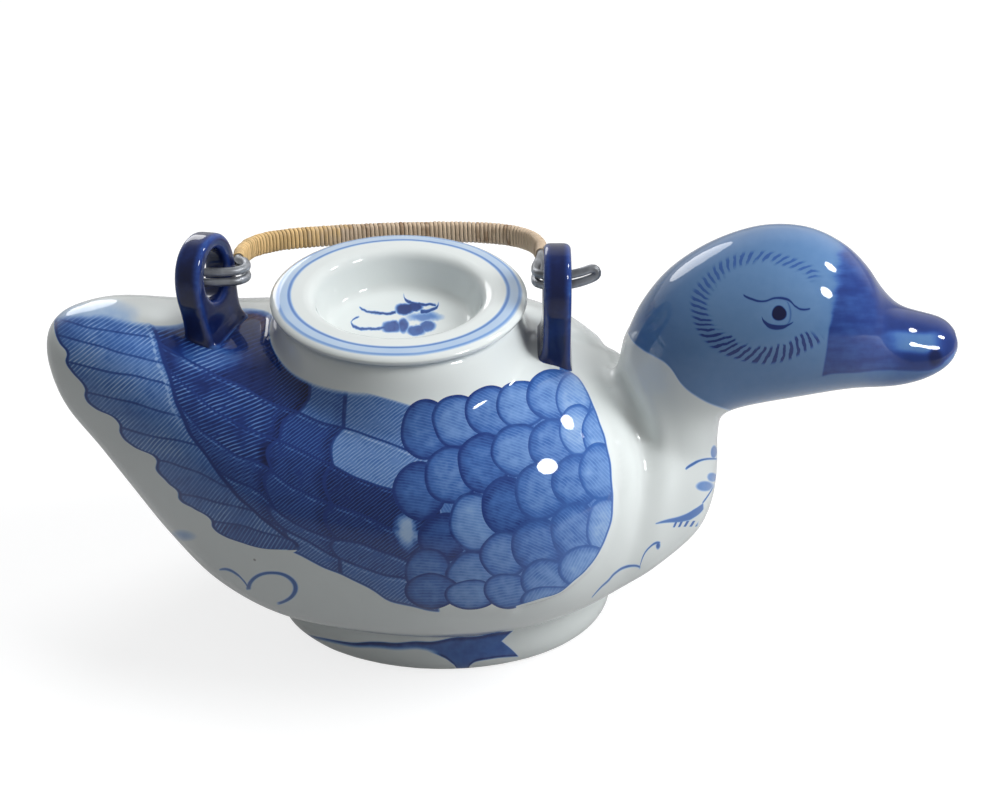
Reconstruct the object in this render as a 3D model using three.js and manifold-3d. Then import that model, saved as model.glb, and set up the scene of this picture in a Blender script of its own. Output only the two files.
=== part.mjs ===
// A duck-shaped porcelain teapot with a dished lid and a cane-bound wire bail.
// Millimetres, +Z up. The bill points along +X, and the origin is on the table under the middle of the pot.
// The bail is modelled folded back towards +Y, and it turns about an axis along X through both lugs.
import * as THREE from "three";
import { mergeVertices } from "three/addons/utils/BufferGeometryUtils.js";
import Module from "manifold-3d";

const wasm = await Module();
wasm.setup();

// Driving dimensions.
const WALL = 4; // porcelain thickness of the body
const NECK_WALL = 3.4; // porcelain thickness of the neck and head
const GAP = 0.3; // between pieces that touch

// Stations of the duck's body from tail to breast: x, top, bottom, half width, height of the widest place.
const BODY = [
  [-125, 87, 87, 0, 87],
  [-123.8, 91.8, 79, 7, 85.5],
  [-119.5, 95.6, 68.5, 13, 81],
  [-111, 98, 57, 18.5, 76],
  [-103, 98, 45.5, 23.5, 70.5],
  [-92, 95.5, 30.5, 31, 63.5],
  [-79, 92.5, 18, 40.5, 57.5],
  [-62, 90.6, 10.5, 49, 51.5],
  [-41, 90.5, 7, 54, 48.5],
  [-18, 90.5, 6, 56.5, 48],
  [2, 88.5, 7, 54, 48],
  [17, 84, 9.5, 48, 48],
  [29, 76, 12.5, 39, 48],
  [39, 71, 16.5, 30.5, 48],
  [48, 68.5, 21.5, 23, 49],
  [55.5, 65, 28.5, 16, 49],
  [59.4, 59, 38, 8.3, 49.5],
  [60.4, 50, 50, 0, 50],
];
const BODY_SQUARENESS = 2.25; // exponent of the body's sections, where 2 is an ellipse

// Stations of the neck, head and bill: front or lower point x and z, back or upper point x and z, half width.
const NECK = [
  [56, 38, 18, 42, 17],
  [59, 48, 22, 55, 19],
  [60.1, 57, 27.5, 68, 19.5],
  [60.4, 63.5, 31.4, 78.5, 19.5],
  [61.2, 67, 34, 88.2, 20.2],
  [63.4, 69.3, 37.9, 97.4, 21.5],
  [67.5, 70.6, 45.2, 107.2, 22.5],
  [73.5, 71.8, 56.5, 115.4, 23.2],
  [80.5, 73, 69.6, 120.2, 23.2],
  [87.5, 74.2, 82, 120, 22],
  [93.5, 75, 92, 115.4, 19.8],
  [98.5, 75, 98.8, 109, 16.8],
  [103, 74.8, 103.4, 102.2, 14.2],
  [108, 75.2, 108.6, 96.8, 12.6],
  [114, 77, 115, 94.4, 11.8],
  [119.5, 80, 120.6, 92.8, 10],
  [123.2, 83.2, 123.8, 90.4, 6.2],
  [125, 87, 125, 87, 0],
];

// The oval foot that the pot stands on.
const FOOT_X = -17;
const FOOT_LONG = 46.5; // half length at the table
const FOOT_WIDE = 35; // half width at the table
const FOOT_HIGH = 12;
const FOOT_RING = 5.5; // width of the ring that touches the table
const FOOT_RECESS = 2.5;

// The round filling collar and its lid share one vertical axis.
const MOUTH_X = -28.3;
const MOUTH_RADIUS = 29.7;
const COLLAR_TOP = 99.2;
const MOUTH_FROM = 70; // the bore through the back runs from here
const MOUTH_TO = 130; // to well above the collar

// The bail's hinge axis, its lie at rest and its two lugs.
const HINGE_Z = 106;
const BAIL_BACK = THREE.MathUtils.degToRad(101.5); // from upright, folded back
const LUG_THICK = 7.6;
const LUG_ROUND = 1.8; // radius of the lugs' edges
const LUG_HOLE = { up: 0.8, halfWidth: 6.6, halfHeight: 7 }; // up from the lug's middle
const REAR_LUG = {
  x: -80.4,
  holeZ: 107.4,
  turn: THREE.MathUtils.degToRad(-20),
  lean: THREE.MathUtils.degToRad(-6),
};
const FRONT_LUG = { x: 14.6, holeZ: 104, turn: 0, lean: 0 };
const WIRE = 2.4; // diameter of the bail's doubled wire
const STRANDS_BOUND = 1.36; // half the distance between the strands under the binding
const STRANDS_FREE = 1.42; // the same at the hooks
const CANE_THICK = 0.45;
const CANE_TURNS = 24;
const CANE_SPACING = 0.65; // bare stretch between two turns

// The spout's bore, level and open at the tip of the bill. It widens inwards.
const SPOUT_RADIUS = 3.2;
const SPOUT_FLARE = 1.2;
const SPOUT_Z = 86.6;
const SPOUT_FROM = 103;
const SPOUT_TO = 127;

// Catmull-Rom value at t through rows of numbers. The rows past either end are given by the two ghosts.
function spline(rows, t, ghostStart, ghostEnd) {
  const i = Math.min(Math.floor(t), rows.length - 2);
  const f = t - i;
  const a = i > 0 ? rows[i - 1] : ghostStart;
  const b = rows[i];
  const c = rows[i + 1];
  const d = i + 2 < rows.length ? rows[i + 2] : ghostEnd;
  return b.map(
    (_, k) =>
      0.5 *
      (2 * b[k] +
        (c[k] - a[k]) * f +
        (2 * a[k] - 5 * b[k] + 4 * c[k] - d[k]) * f * f +
        (3 * b[k] - a[k] - 3 * c[k] + d[k]) * f * f * f),
  );
}

// A closed surface through rings of points, with a point to close each end.
function skin(rings, first, last) {
  const around = rings[0].length;
  const points = [first, ...rings.flat(), last];
  const at = (ring, k) => 1 + ring * around + (k % around);
  const faces = [];
  for (let k = 0; k < around; k++) {
    faces.push(0, at(0, k + 1), at(0, k));
    faces.push(points.length - 1, at(rings.length - 1, k), at(rings.length - 1, k + 1));
    for (let r = 0; r + 1 < rings.length; r++) {
      faces.push(at(r, k), at(r, k + 1), at(r + 1, k));
      faces.push(at(r, k + 1), at(r + 1, k + 1), at(r + 1, k));
    }
  }
  const geometry = new THREE.BufferGeometry().setFromPoints(points);
  return geometry.setIndex(faces);
}

const power = (value, exponent) => Math.sign(value) * Math.abs(value) ** exponent;

// The body's surface, moved outwards by grow.
function bodyGeometry(grow, steps, around) {
  const mirrored = ([x, top, bottom, wide, mid]) => [x, bottom, top, -wide, mid];
  const ghosts = [mirrored(BODY[1]), mirrored(BODY[BODY.length - 2])];
  const rings = [];
  const spans = BODY.length - 1;
  for (let s = 1; s < spans * steps; s++) {
    const [x, top, bottom, wide, mid] = spline(BODY, s / steps, ...ghosts);
    const reach = THREE.MathUtils.clamp((x - BODY[0][0]) / (BODY[spans][0] - BODY[0][0]), 0, 1);
    const shift = grow * (2 * reach - 1); // lengthens or shortens the whole by grow at each end
    const w = wide + grow;
    if (w < 0.5 || top - bottom + 2 * grow < 1) continue;
    rings.push(
      Array.from({ length: around }, (_, k) => {
        const angle = (2 * Math.PI * k) / around;
        const side = power(Math.cos(angle), 2 / BODY_SQUARENESS);
        const rise = power(Math.sin(angle), 2 / BODY_SQUARENESS);
        const high = rise > 0 ? top + grow - mid : mid - bottom + grow;
        return new THREE.Vector3(x + shift, w * side, mid + high * rise);
      }),
    );
  }
  return capped(rings);
}

// The neck and head's surface, moved outwards by grow.
function neckGeometry(grow, steps, around) {
  const mirrored = ([fx, fz, bx, bz, wide]) => [bx, bz, fx, fz, -wide];
  const ghosts = [NECK[0], mirrored(NECK[NECK.length - 2])];
  const rings = [];
  for (let s = 0; s < (NECK.length - 1) * steps; s++) {
    const [fx, fz, bx, bz, wide] = spline(NECK, s / steps, ...ghosts);
    const half = Math.hypot(bx - fx, bz - fz) / 2;
    const across = half + grow;
    const w = wide + grow;
    if (w < 0.5 || across < 0.5) continue;
    const [ux, uz] = [(bx - fx) / (2 * half), (bz - fz) / (2 * half)];
    const [cx, cz] = [(fx + bx) / 2, (fz + bz) / 2];
    rings.push(
      Array.from({ length: around }, (_, k) => {
        const angle = (2 * Math.PI * k) / around;
        const u = across * Math.sin(angle);
        return new THREE.Vector3(cx + ux * u, w * Math.cos(angle), cz + uz * u);
      }),
    );
  }
  return capped(rings);
}

// Closes rings with the middle of the first and the last one.
function capped(rings) {
  const middle = (ring) => ring.reduce((sum, p) => sum.add(p), new THREE.Vector3()).divideScalar(ring.length);
  return skin(rings, middle(rings[0]), middle(rings[rings.length - 1]));
}

// A closed geometry as a solid for joining and cutting.
function solid(geometry) {
  const bare = geometry.clone();
  bare.deleteAttribute("normal");
  bare.deleteAttribute("uv");
  const merged = mergeVertices(bare, 1e-4);
  const vertProperties = new Float32Array(merged.attributes.position.array);
  const triVerts = new Uint32Array(merged.index.array);
  const made = new wasm.Manifold(new wasm.Mesh({ numProp: 3, vertProperties, triVerts }));
  if (made.volume() > 0) return made;
  return new wasm.Manifold(new wasm.Mesh({ numProp: 3, vertProperties, triVerts: triVerts.reverse() }));
}

// A solid back as a geometry.
function geometryOf(body) {
  const mesh = body.getMesh();
  const geometry = new THREE.BufferGeometry();
  geometry.setAttribute("position", new THREE.BufferAttribute(new Float32Array(mesh.vertProperties), 3));
  geometry.setIndex(new THREE.BufferAttribute(new Uint32Array(mesh.triVerts), 1));
  return geometry;
}

// A LatheGeometry of [radius, height] points, turned so that its axis is vertical through x.
function turned(profile, x, segments = 44) {
  const lathe = new THREE.LatheGeometry(
    profile.map(([r, z]) => new THREE.Vector2(r, z)),
    segments,
  );
  return lathe.rotateX(Math.PI / 2).translate(x, 0, 0);
}

// The oval foot: a low drum whose wall bulges a little, recessed underneath.
function footSolid() {
  const bulge = [
    [0, 0],
    [FOOT_LONG - 0.8, 0],
    [FOOT_LONG, 0.8],
    [FOOT_LONG + 1.6, 4.5],
    [FOOT_LONG + 2, 8],
    [FOOT_LONG + 0.8, FOOT_HIGH],
    [FOOT_LONG - 8, FOOT_HIGH + 5],
    [0, FOOT_HIGH + 5],
  ];
  const shape = turned(bulge, 0, 44).scale(1, FOOT_WIDE / FOOT_LONG, 1).translate(FOOT_X, 0, 0);
  return solid(shape);
}

function footRecess() {
  const inside = FOOT_LONG - FOOT_RING;
  const profile = [
    [0, -1],
    [inside, -1],
    [inside, 0],
    [inside - 1.2, FOOT_RECESS],
    [0, FOOT_RECESS],
  ];
  const wide = (FOOT_WIDE - FOOT_RING) / inside;
  return solid(turned(profile, 0, 44).scale(1, wide, 1).translate(FOOT_X, 0, 0));
}

// Everything that is air inside the pot, apart from the foot's recess.
function hollow() {
  const belly = solid(bodyGeometry(-WALL, 1, 24));
  const throat = solid(neckGeometry(-NECK_WALL, 1, 16));
  const mouth = new THREE.CylinderGeometry(MOUTH_RADIUS, MOUTH_RADIUS, MOUTH_TO - MOUTH_FROM, 44);
  mouth.rotateX(Math.PI / 2).translate(MOUTH_X, 0, (MOUTH_FROM + MOUTH_TO) / 2);
  const spoutLong = SPOUT_TO - SPOUT_FROM;
  const spout = new THREE.CylinderGeometry(SPOUT_RADIUS, SPOUT_RADIUS + SPOUT_FLARE, spoutLong, 20);
  spout.rotateZ(-Math.PI / 2).translate((SPOUT_FROM + SPOUT_TO) / 2, 0, SPOUT_Z);
  return belly.add(throat).add(solid(mouth)).add(solid(spout));
}

// The bail's centreline in its own plane: x along the hinge axis, y the distance from the axis.
const REAR_HOOK = [
  [-86.8, 0],
  [-81, 0],
  [-76, 0.2],
  [-71.9, 1.3],
  [-69.8, 4.7],
  [-70.6, 9.5],
];
const ARCH = [
  [-73, 16],
  [-72.8, 24],
  [-70, 32.4],
  [-62.3, 38.7],
  [-48, 43],
  [-30, 45.8],
  [-11, 46.4],
  [1, 43.6],
  [8, 37.2],
  [10.6, 28.5],
  [10.6, 20],
];
const FRONT_HOOK = [
  [9.6, 12.5],
  [8.9, 7.2],
  [9.3, 2.6],
  [12, 0.3],
  [16, 0],
  [20.5, 0],
];
const HAIRPIN_TIP = 25.4;
const HAIRPIN_FROM = 17; // from here to the hairpin's end, the wire rises off the axis
const HAIRPIN_RISE = 2.2;
const HAIRPIN_BEND = 1.1; // length of the rounded end
const HAIRPIN_NARROW = 0.9; // the strands' spread where the end begins, as a share
const REAR_RISE = 1; // the rear hook lies this far off the axis

// A point of the bail: along the axis, out from it, and off the bail's own plane.
function bailPoint(x, out, off) {
  return new THREE.Vector3(
    x,
    out * Math.sin(BAIL_BACK) - off * Math.cos(BAIL_BACK),
    HINGE_Z + out * Math.cos(BAIL_BACK) + off * Math.sin(BAIL_BACK),
  );
}

const archCurve = new THREE.CatmullRomCurve3(
  ARCH.map(([x, out]) => new THREE.Vector3(x, out, 0)),
  false,
  "centripetal",
);
const ARCH_LENGTH = archCurve.getLength();

// One doubled wire: up from the rear hook, round the front hairpin and back beside itself.
function bailWire() {
  const strand = (side) => {
    const rise = (x) => HAIRPIN_RISE * Math.max(0, (x - HAIRPIN_FROM) / (HAIRPIN_TIP - HAIRPIN_FROM));
    const rear = REAR_HOOK.map(([x, out]) => bailPoint(x, out, side * STRANDS_FREE + REAR_RISE));
    const arch = ARCH.map(([x, out]) => bailPoint(x, out, side * STRANDS_BOUND));
    const front = FRONT_HOOK.map(([x, out]) => bailPoint(x, out, side * STRANDS_FREE + rise(x)));
    return [...rear, ...arch, ...front];
  };
  const upper = strand(1);
  const lower = strand(-1).reverse();
  const bend = [1, 0, -1].map((side) => {
    const along = HAIRPIN_TIP - Math.abs(side) * HAIRPIN_BEND;
    return bailPoint(along, 0, side * STRANDS_FREE * HAIRPIN_NARROW + HAIRPIN_RISE);
  });
  const path = new THREE.CatmullRomCurve3([...upper, ...bend, ...lower], false, "centripetal");
  const section = new THREE.Shape().absarc(0, 0, WIRE / 2, 0, 2 * Math.PI);
  return new THREE.ExtrudeGeometry(section, { steps: 130, curveSegments: 4, extrudePath: path });
}

// The cane binding: one flat strip wound round both strands as an open helix.
function caneBinding() {
  const half = STRANDS_BOUND;
  const clear = WIRE / 2 + GAP;
  const stepsPerTurn = 12;
  const pitch = ARCH_LENGTH / (CANE_TURNS + 0.3);
  const width = pitch - CANE_SPACING;
  // A point of the strip: distance along the arch, angle round the strands, height above the strands.
  const place = (along, angle, height) => {
    const share = THREE.MathUtils.clamp(along / ARCH_LENGTH, 0, 1);
    const centre = archCurve.getPointAt(share);
    const tangent = archCurve.getTangentAt(share);
    const radius = clear + height;
    const out = radius * Math.cos(angle);
    const off = radius * Math.sin(angle) + half * Math.sign(Math.round(Math.sin(angle) * 10));
    return bailPoint(centre.x - tangent.y * out, centre.y + tangent.x * out, off);
  };
  const rings = [];
  for (let k = 0; k <= CANE_TURNS * stepsPerTurn; k++) {
    const angle = (2 * Math.PI * (k + 0.5)) / stepsPerTurn;
    const middle = width / 2 + (pitch * k) / stepsPerTurn;
    rings.push([
      place(middle - width / 2, angle, 0),
      place(middle + width / 2, angle, 0),
      place(middle + width / 2, angle, CANE_THICK),
      place(middle - width / 2, angle, CANE_THICK),
    ]);
  }
  return { geometry: capped(rings), rings, stepsPerTurn };
}

// The least distance between two neighbouring turns of the binding, measured on its points.
function leastGap({ rings, stepsPerTurn }) {
  let least = Infinity;
  for (let k = 0; k + stepsPerTurn < rings.length; k++) {
    least = Math.min(least, rings[k][1].distanceTo(rings[k + stepsPerTurn][0]));
    least = Math.min(least, rings[k][2].distanceTo(rings[k + stepsPerTurn][3]));
  }
  return least;
}

// A lug: a rounded upright tab with an oval hole, standing in the plane across the hinge axis.
function lugSolid({ x, holeZ, turn, lean }) {
  const shape = new THREE.Shape();
  shape.moveTo(-12.5, -34);
  shape.bezierCurveTo(-9.5, -24, -9.6, -12, -11.6, -3);
  shape.bezierCurveTo(-12.6, 6.4, -7.6, 11.8, 0, 11.8);
  shape.bezierCurveTo(7.6, 11.8, 12.6, 6.4, 11.6, -3);
  shape.bezierCurveTo(9.6, -12, 9.5, -24, 12.5, -34);
  const oval = new THREE.EllipseCurve(0, LUG_HOLE.up, LUG_HOLE.halfWidth, LUG_HOLE.halfHeight);
  shape.holes.push(new THREE.Path(oval.getPoints(22).slice(1)));
  const tab = new THREE.ExtrudeGeometry(shape, {
    depth: LUG_THICK - 2 * LUG_ROUND,
    bevelThickness: LUG_ROUND,
    bevelSize: LUG_ROUND,
    bevelOffset: -LUG_ROUND,
    bevelSegments: 2,
    curveSegments: 7,
  });
  tab.translate(0, 0, LUG_ROUND - LUG_THICK / 2);
  tab.rotateX(Math.PI / 2).rotateZ(Math.PI / 2);
  tab.rotateY(lean).rotateZ(turn).translate(x, 0, holeZ);
  return solid(tab);
}

// The dished lid in section, from the middle of its upper face round to the middle of its underside.
const LID = [
  [0, 91.8],
  [17.5, 91.8],
  [19.8, 92.4],
  [21, 94],
  [22, 98],
  [23, 100.6],
  [24.6, 102.1],
  [27, 102.6],
  [31.5, 102.5],
  [34, 102.1],
  [34.9, 100.9],
  [34.3, 99.8],
  [32.8, 99.5],
  [28.3, 99.5],
  [27.8, 96.6],
  [25.6, 91.6],
  [23.4, 88.8],
  [21, 88],
  [0, 88],
];

// The filling collar in section: its bore, its rim and its flared foot, which the body cuts off.
const COLLAR = [
  [MOUTH_RADIUS, 70],
  [38.5, 70],
  [38.5, 83],
  [36.6, 86.5],
  [35, 90.6],
  [34, 95],
  [33, COLLAR_TOP - 0.2],
  [32.2, COLLAR_TOP],
  [MOUTH_RADIUS + 0.4, COLLAR_TOP],
  [MOUTH_RADIUS, COLLAR_TOP - 0.5],
  [MOUTH_RADIUS, 70],
];

// Materials.
const white = new THREE.MeshStandardMaterial({ color: 0xdfe6e8, roughness: 0.12 });
const blueWash = new THREE.MeshStandardMaterial({ color: 0x4a6ba6, roughness: 0.12 });
const cobalt = new THREE.MeshStandardMaterial({ color: 0x18246b, roughness: 0.12 });
const steel = new THREE.MeshStandardMaterial({ color: 0x7b8082, roughness: 0.35, metalness: 1 });
const cane = new THREE.MeshStandardMaterial({ color: 0xb08a5a, roughness: 0.6 });

// Joining and cutting the porcelain.
const air = hollow();
const bodyOutside = solid(bodyGeometry(0, 2, 36)).add(footSolid());
const bodyKeepOut = solid(bodyGeometry(GAP, 2, 36));
const duckBody = bodyOutside.subtract(air).subtract(footRecess());
const neckAndHead = solid(neckGeometry(0, 2, 24)).subtract(bodyKeepOut).subtract(air);
const neckKeepOut = solid(neckGeometry(GAP, 2, 24));
const collar = solid(turned(COLLAR, MOUTH_X)).subtract(bodyKeepOut).subtract(neckKeepOut);
const rearLug = lugSolid(REAR_LUG).subtract(bodyKeepOut);
const frontLug = lugSolid(FRONT_LUG).subtract(bodyKeepOut);
const collarGrown = COLLAR.map(([r, z]) => [r > MOUTH_RADIUS + 1 ? r + GAP : r, z]);
const collarKeepOut = solid(turned(collarGrown, MOUTH_X));

// The largest body of a solid that a cut may have left in several.
function largest(body) {
  return body.decompose().reduce((best, piece) => (piece.volume() > best.volume() ? piece : best));
}

const winding = caneBinding();
console.log("least gap between turns of the binding:", leastGap(winding).toFixed(2), "mm");

const teapot = new THREE.Group();
function piece(name, geometry, material) {
  const mesh = new THREE.Mesh(geometry, material);
  mesh.name = name;
  teapot.add(mesh);
}
piece("duck_body", geometryOf(largest(duckBody)), white);
piece("neck_and_head", geometryOf(largest(neckAndHead)), blueWash);
piece("filling_collar", geometryOf(largest(collar)), white);
piece("rear_lug", geometryOf(largest(rearLug.subtract(collarKeepOut))), cobalt);
piece("front_lug", geometryOf(largest(frontLug.subtract(collarKeepOut))), cobalt);
piece("lid", turned(LID.toReversed(), MOUTH_X), white);
piece("bail_wire", bailWire(), steel);
piece("cane_binding", winding.geometry, cane);

export default teapot;
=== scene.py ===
"""A blue and white porcelain teapot in the shape of a duck, with a dished lid and a cane-bound wire bail."""

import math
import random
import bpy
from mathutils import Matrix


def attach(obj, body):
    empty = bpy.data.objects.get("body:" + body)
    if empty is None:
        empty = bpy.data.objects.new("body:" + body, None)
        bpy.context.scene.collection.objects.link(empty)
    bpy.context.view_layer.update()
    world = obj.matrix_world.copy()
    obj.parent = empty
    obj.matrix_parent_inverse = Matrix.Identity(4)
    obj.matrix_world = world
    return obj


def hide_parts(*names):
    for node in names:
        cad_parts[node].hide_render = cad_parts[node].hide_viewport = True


bl_info = {
    "name": "Duck Teapot",
    "version": (1, 0, 0),
    "blender": (4, 5, 0),
    "location": "3D View > Sidebar > Teapot",
    "description": "A hollow porcelain duck, painted in cobalt blue under a clear glaze",
    "category": "Add Mesh",
}

from functools import partialmethod, reduce
from types import SimpleNamespace

import bpy
import numpy as np
from mathutils import Vector

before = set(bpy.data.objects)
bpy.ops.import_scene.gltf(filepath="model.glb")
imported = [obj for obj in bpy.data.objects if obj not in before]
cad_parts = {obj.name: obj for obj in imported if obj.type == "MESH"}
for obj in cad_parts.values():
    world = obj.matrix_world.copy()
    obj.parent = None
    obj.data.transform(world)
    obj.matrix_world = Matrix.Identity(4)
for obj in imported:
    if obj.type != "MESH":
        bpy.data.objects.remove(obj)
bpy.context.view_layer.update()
MM = 0.001

# The photograph's view, which also lays out the painting on the pot.
IMAGE_WIDTH = 1000
IMAGE_HEIGHT = 804
VIEW_TARGET = Vector((-0.8, 0, 67.5)) * MM
VIEW_DISTANCE = 730 * MM
VIEW_PITCH = math.radians(31.7)
VIEW_FOCUS = 2625  # focal length in pixels of the photograph
SENSOR = 36  # millimetres

# Stations of the duck's body from tail to breast: x, top, bottom, half width, height of the widest place.
BODY = [
    (-125, 87, 87, 0, 87),
    (-123.8, 91.8, 79, 7, 85.5),
    (-119.5, 95.6, 68.5, 13, 81),
    (-111, 98, 57, 18.5, 76),
    (-103, 98, 45.5, 23.5, 70.5),
    (-92, 95.5, 30.5, 31, 63.5),
    (-79, 92.5, 18, 40.5, 57.5),
    (-62, 90.6, 10.5, 49, 51.5),
    (-41, 90.5, 7, 54, 48.5),
    (-18, 90.5, 6, 56.5, 48),
    (2, 88.5, 7, 54, 48),
    (17, 84, 9.5, 48, 48),
    (29, 76, 12.5, 39, 48),
    (39, 71, 16.5, 30.5, 48),
    (48, 68.5, 21.5, 23, 49),
    (55.5, 65, 28.5, 16, 49),
    (59.4, 59, 38, 8.3, 49.5),
    (60.4, 50, 50, 0, 50),
]
BODY_SQUARENESS = 2.25

# Stations of the neck, head and bill: front or lower point x and z, back or upper point x and z, half width.
NECK = [
    (56, 38, 18, 42, 17),
    (59, 48, 22, 55, 19),
    (60.1, 57, 27.5, 68, 19.5),
    (60.4, 63.5, 31.4, 78.5, 19.5),
    (61.2, 67, 34, 88.2, 20.2),
    (63.4, 69.3, 37.9, 97.4, 21.5),
    (67.5, 70.6, 45.2, 107.2, 22.5),
    (73.5, 71.8, 56.5, 115.4, 23.2),
    (80.5, 73, 69.6, 120.2, 23.2),
    (87.5, 74.2, 82, 120, 22),
    (93.5, 75, 92, 115.4, 19.8),
    (98.5, 75, 98.8, 109, 16.8),
    (103, 74.8, 103.4, 102.2, 14.2),
    (108, 75.2, 108.6, 96.8, 12.6),
    (114, 77, 115, 94.4, 11.8),
    (119.5, 80, 120.6, 92.8, 10),
    (123.2, 83.2, 123.8, 90.4, 6.2),
    (125, 87, 125, 87, 0),
]
THROAT = [*NECK[:15], (119.5, 86.4, 119.5, 86.4, 0)]

# The oval foot, in millimetres.
FOOT_X = -17
FOOT_LONG = 46.5
FOOT_WIDE = 35
FOOT_RING = 5.5
FOOT_RECESS = 2.5

# The collar, the lid and the bail, in millimetres.
MOUTH_X = -28.3
MOUTH_RADIUS = 29.7
COLLAR_TOP = 99.2
HINGE_Z = 106
BAIL_BACK = math.radians(101.5)
LUG_THICK = 7.6
LUG_EDGE = 1.6
LUG_HOLE = SimpleNamespace(up=0.8, half_width=6.6, half_height=7)
REAR_LUG = SimpleNamespace(x=-80.4, hole_z=107.4, turn=math.radians(-20), lean=math.radians(-6))
FRONT_LUG = SimpleNamespace(x=14.6, hole_z=104, turn=0, lean=0)
SPOUT_RADIUS = 3.2
SPOUT_FLARE = 1.2  # how much wider the cutter of the pouring hole is at its inner end
SPOUT_CUT = SimpleNamespace(x=115, z=86.6, length=24)
ROUND = 128  # steps round a turned form
BORE_ROUND = 96
LUG_SINK = 0.8  # the lugs reach this far into the body


# Sizes and colours that a user would change


def colour_property(name, description, rgb):
    return bpy.props.FloatVectorProperty(
        name=name, description=description, subtype="COLOR_GAMMA", size=3, min=0, max=1,
        default=[c / 255 for c in rgb],
    )


def length_property(name, description, millimetres):
    return bpy.props.FloatProperty(
        name=name, description=description, default=millimetres * MM, unit="LENGTH", min=0
    )


class PotSizes(bpy.types.PropertyGroup):
    wall: length_property("Wall", "Thickness of the body's porcelain", 4)
    neck_wall: length_property("Neck wall", "Thickness of the porcelain in the neck and head", 3.4)
    grain: length_property("Grain", "Size of the squares that the skin is made of", 1.35)
    lug_grain: length_property("Lug grain", "The same on the lugs", 0.6)
    wing_relief: length_property("Wing relief", "How far the fore-wing stands out", 1.3)
    groove: length_property("Groove", "Depth of the valley between shoulder and neck", 1.9)


class GlazeColours(bpy.types.PropertyGroup):
    white: colour_property("Porcelain", "Bare porcelain under the glaze", (224, 230, 229))
    pale: colour_property("Pale wash", "Thinnest cobalt", (166, 192, 222))
    light: colour_property("Light wash", "Thin cobalt", (113, 151, 206))
    middle: colour_property("Middle blue", "Full cobalt wash", (63, 105, 174))
    deep: colour_property("Deep blue", "Brush outlines", (30, 56, 124))
    dark: colour_property("Dark blue", "Thick cobalt", (11, 20, 62))
    slate: colour_property("Slate wash", "Wash on the duck's head", (88, 124, 158))


class BailSizes(bpy.types.PropertyGroup):
    wire: length_property("Wire", "Diameter of the wire", 2.4)
    spread_bound: length_property(
        "Bound spread", "Half the distance between the strands under the cane", 1.36
    )
    spread_free: length_property("Free spread", "Half the distance between the strands at the hooks", 1.42)
    cane_thick: length_property("Cane", "Thickness of the cane strip", 0.45)
    turns: bpy.props.IntProperty(name="Turns", description="Turns of the cane", default=96, min=8, max=120)
    cane: colour_property("Cane", "Colour of the split cane", (234, 199, 142))
    aged: colour_property("Aged cane", "Colour where hands have held it", (208, 186, 160))
    steel: colour_property("Wire", "Colour of the wire", (176, 180, 186))


class StageSizes(bpy.types.PropertyGroup):
    floor: colour_property("Floor", "Colour of the table", (160, 161, 162))


# Arithmetic in a material


BRUSH_EDGE = 0.8  # pixels of the photograph


class Amount:
    """A number in a material, so that a pattern can be written as plain arithmetic."""

    def __init__(self, tree, socket):
        self.tree = tree
        self.socket = socket

    def do(self, operation, *others):
        made = new_node(self.tree, "Math", enumerate((self, *others)), operation=operation)
        return Amount(self.tree, made.outputs[0])

    __add__ = __radd__ = partialmethod(do, "ADD")
    __sub__ = partialmethod(do, "SUBTRACT")
    __mul__ = __rmul__ = partialmethod(do, "MULTIPLY")
    __truediv__ = partialmethod(do, "DIVIDE")
    floor = partialmethod(do, "FLOOR")
    size = partialmethod(do, "ABSOLUTE")
    least = partialmethod(do, "MINIMUM")
    most = partialmethod(do, "MAXIMUM")
    is_over = partialmethod(do, "GREATER_THAN")
    is_under = partialmethod(do, "LESS_THAN")

    def __rsub__(self, other):
        return (self * -1) + other

    def root(self):
        return self.most(0).do("SQRT")

    def wave(self):
        """From 0 to 1 and back as the number grows by 1."""
        return (self * (2 * math.pi)).do("SINE") * 0.5 + 0.5

    def rise(self, low, high):
        """0 below low, 1 above high and smooth between."""
        inputs = enumerate((self, low, high, 0.0, 1.0))
        made = new_node(self.tree, "MapRange", inputs, interpolation_type="SMOOTHSTEP")
        return Amount(self.tree, made.outputs[0])

    def brush_edge(self):
        """0 below 0 and 1 above it, as soft as the edge of a brush stroke."""
        return self.rise(-BRUSH_EDGE, BRUSH_EDGE)


def plug(tree, socket, value):
    """Links a socket to an amount or another socket, or gives it a plain value."""
    value = getattr(value, "socket", value)
    if isinstance(value, bpy.types.NodeSocket):
        tree.links.new(value, socket)
    else:
        socket.default_value = value


def new_node(tree, kind, inputs=(), **settings):
    """A node with its settings, and its inputs by name or number."""
    made = tree.nodes.new("ShaderNode" + kind)
    for key, value in settings.items():
        setattr(made, key, value)
    for key, value in inputs:
        plug(tree, made.inputs[key], value)
    return made


def mixed(tree, first, second, share, data_type="RGBA"):
    """first where share is 0, second where it is 1."""
    inputs = ("Factor", share), ("A", first), ("B", second)
    return new_node(tree, "Mix", inputs, data_type=data_type).outputs["Result"]


def between(first, second, share):
    """The same for two amounts."""
    return Amount(share.tree, mixed(share.tree, first, second, share, "FLOAT"))


def parts_of(tree, place):
    """The three numbers of a vector."""
    return [Amount(tree, output) for output in new_node(tree, "SeparateXYZ", [(0, place)]).outputs]


def parts_of_attribute(tree, name):
    """The three numbers that a mesh keeps for each point under a name."""
    return parts_of(tree, new_node(tree, "Attribute", attribute_name=name).outputs["Vector"])


def object_place(tree):
    return new_node(tree, "TexCoord").outputs["Object"]


def vector(tree, *values):
    return new_node(tree, "CombineXYZ", enumerate(values)).outputs[0]


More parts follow.
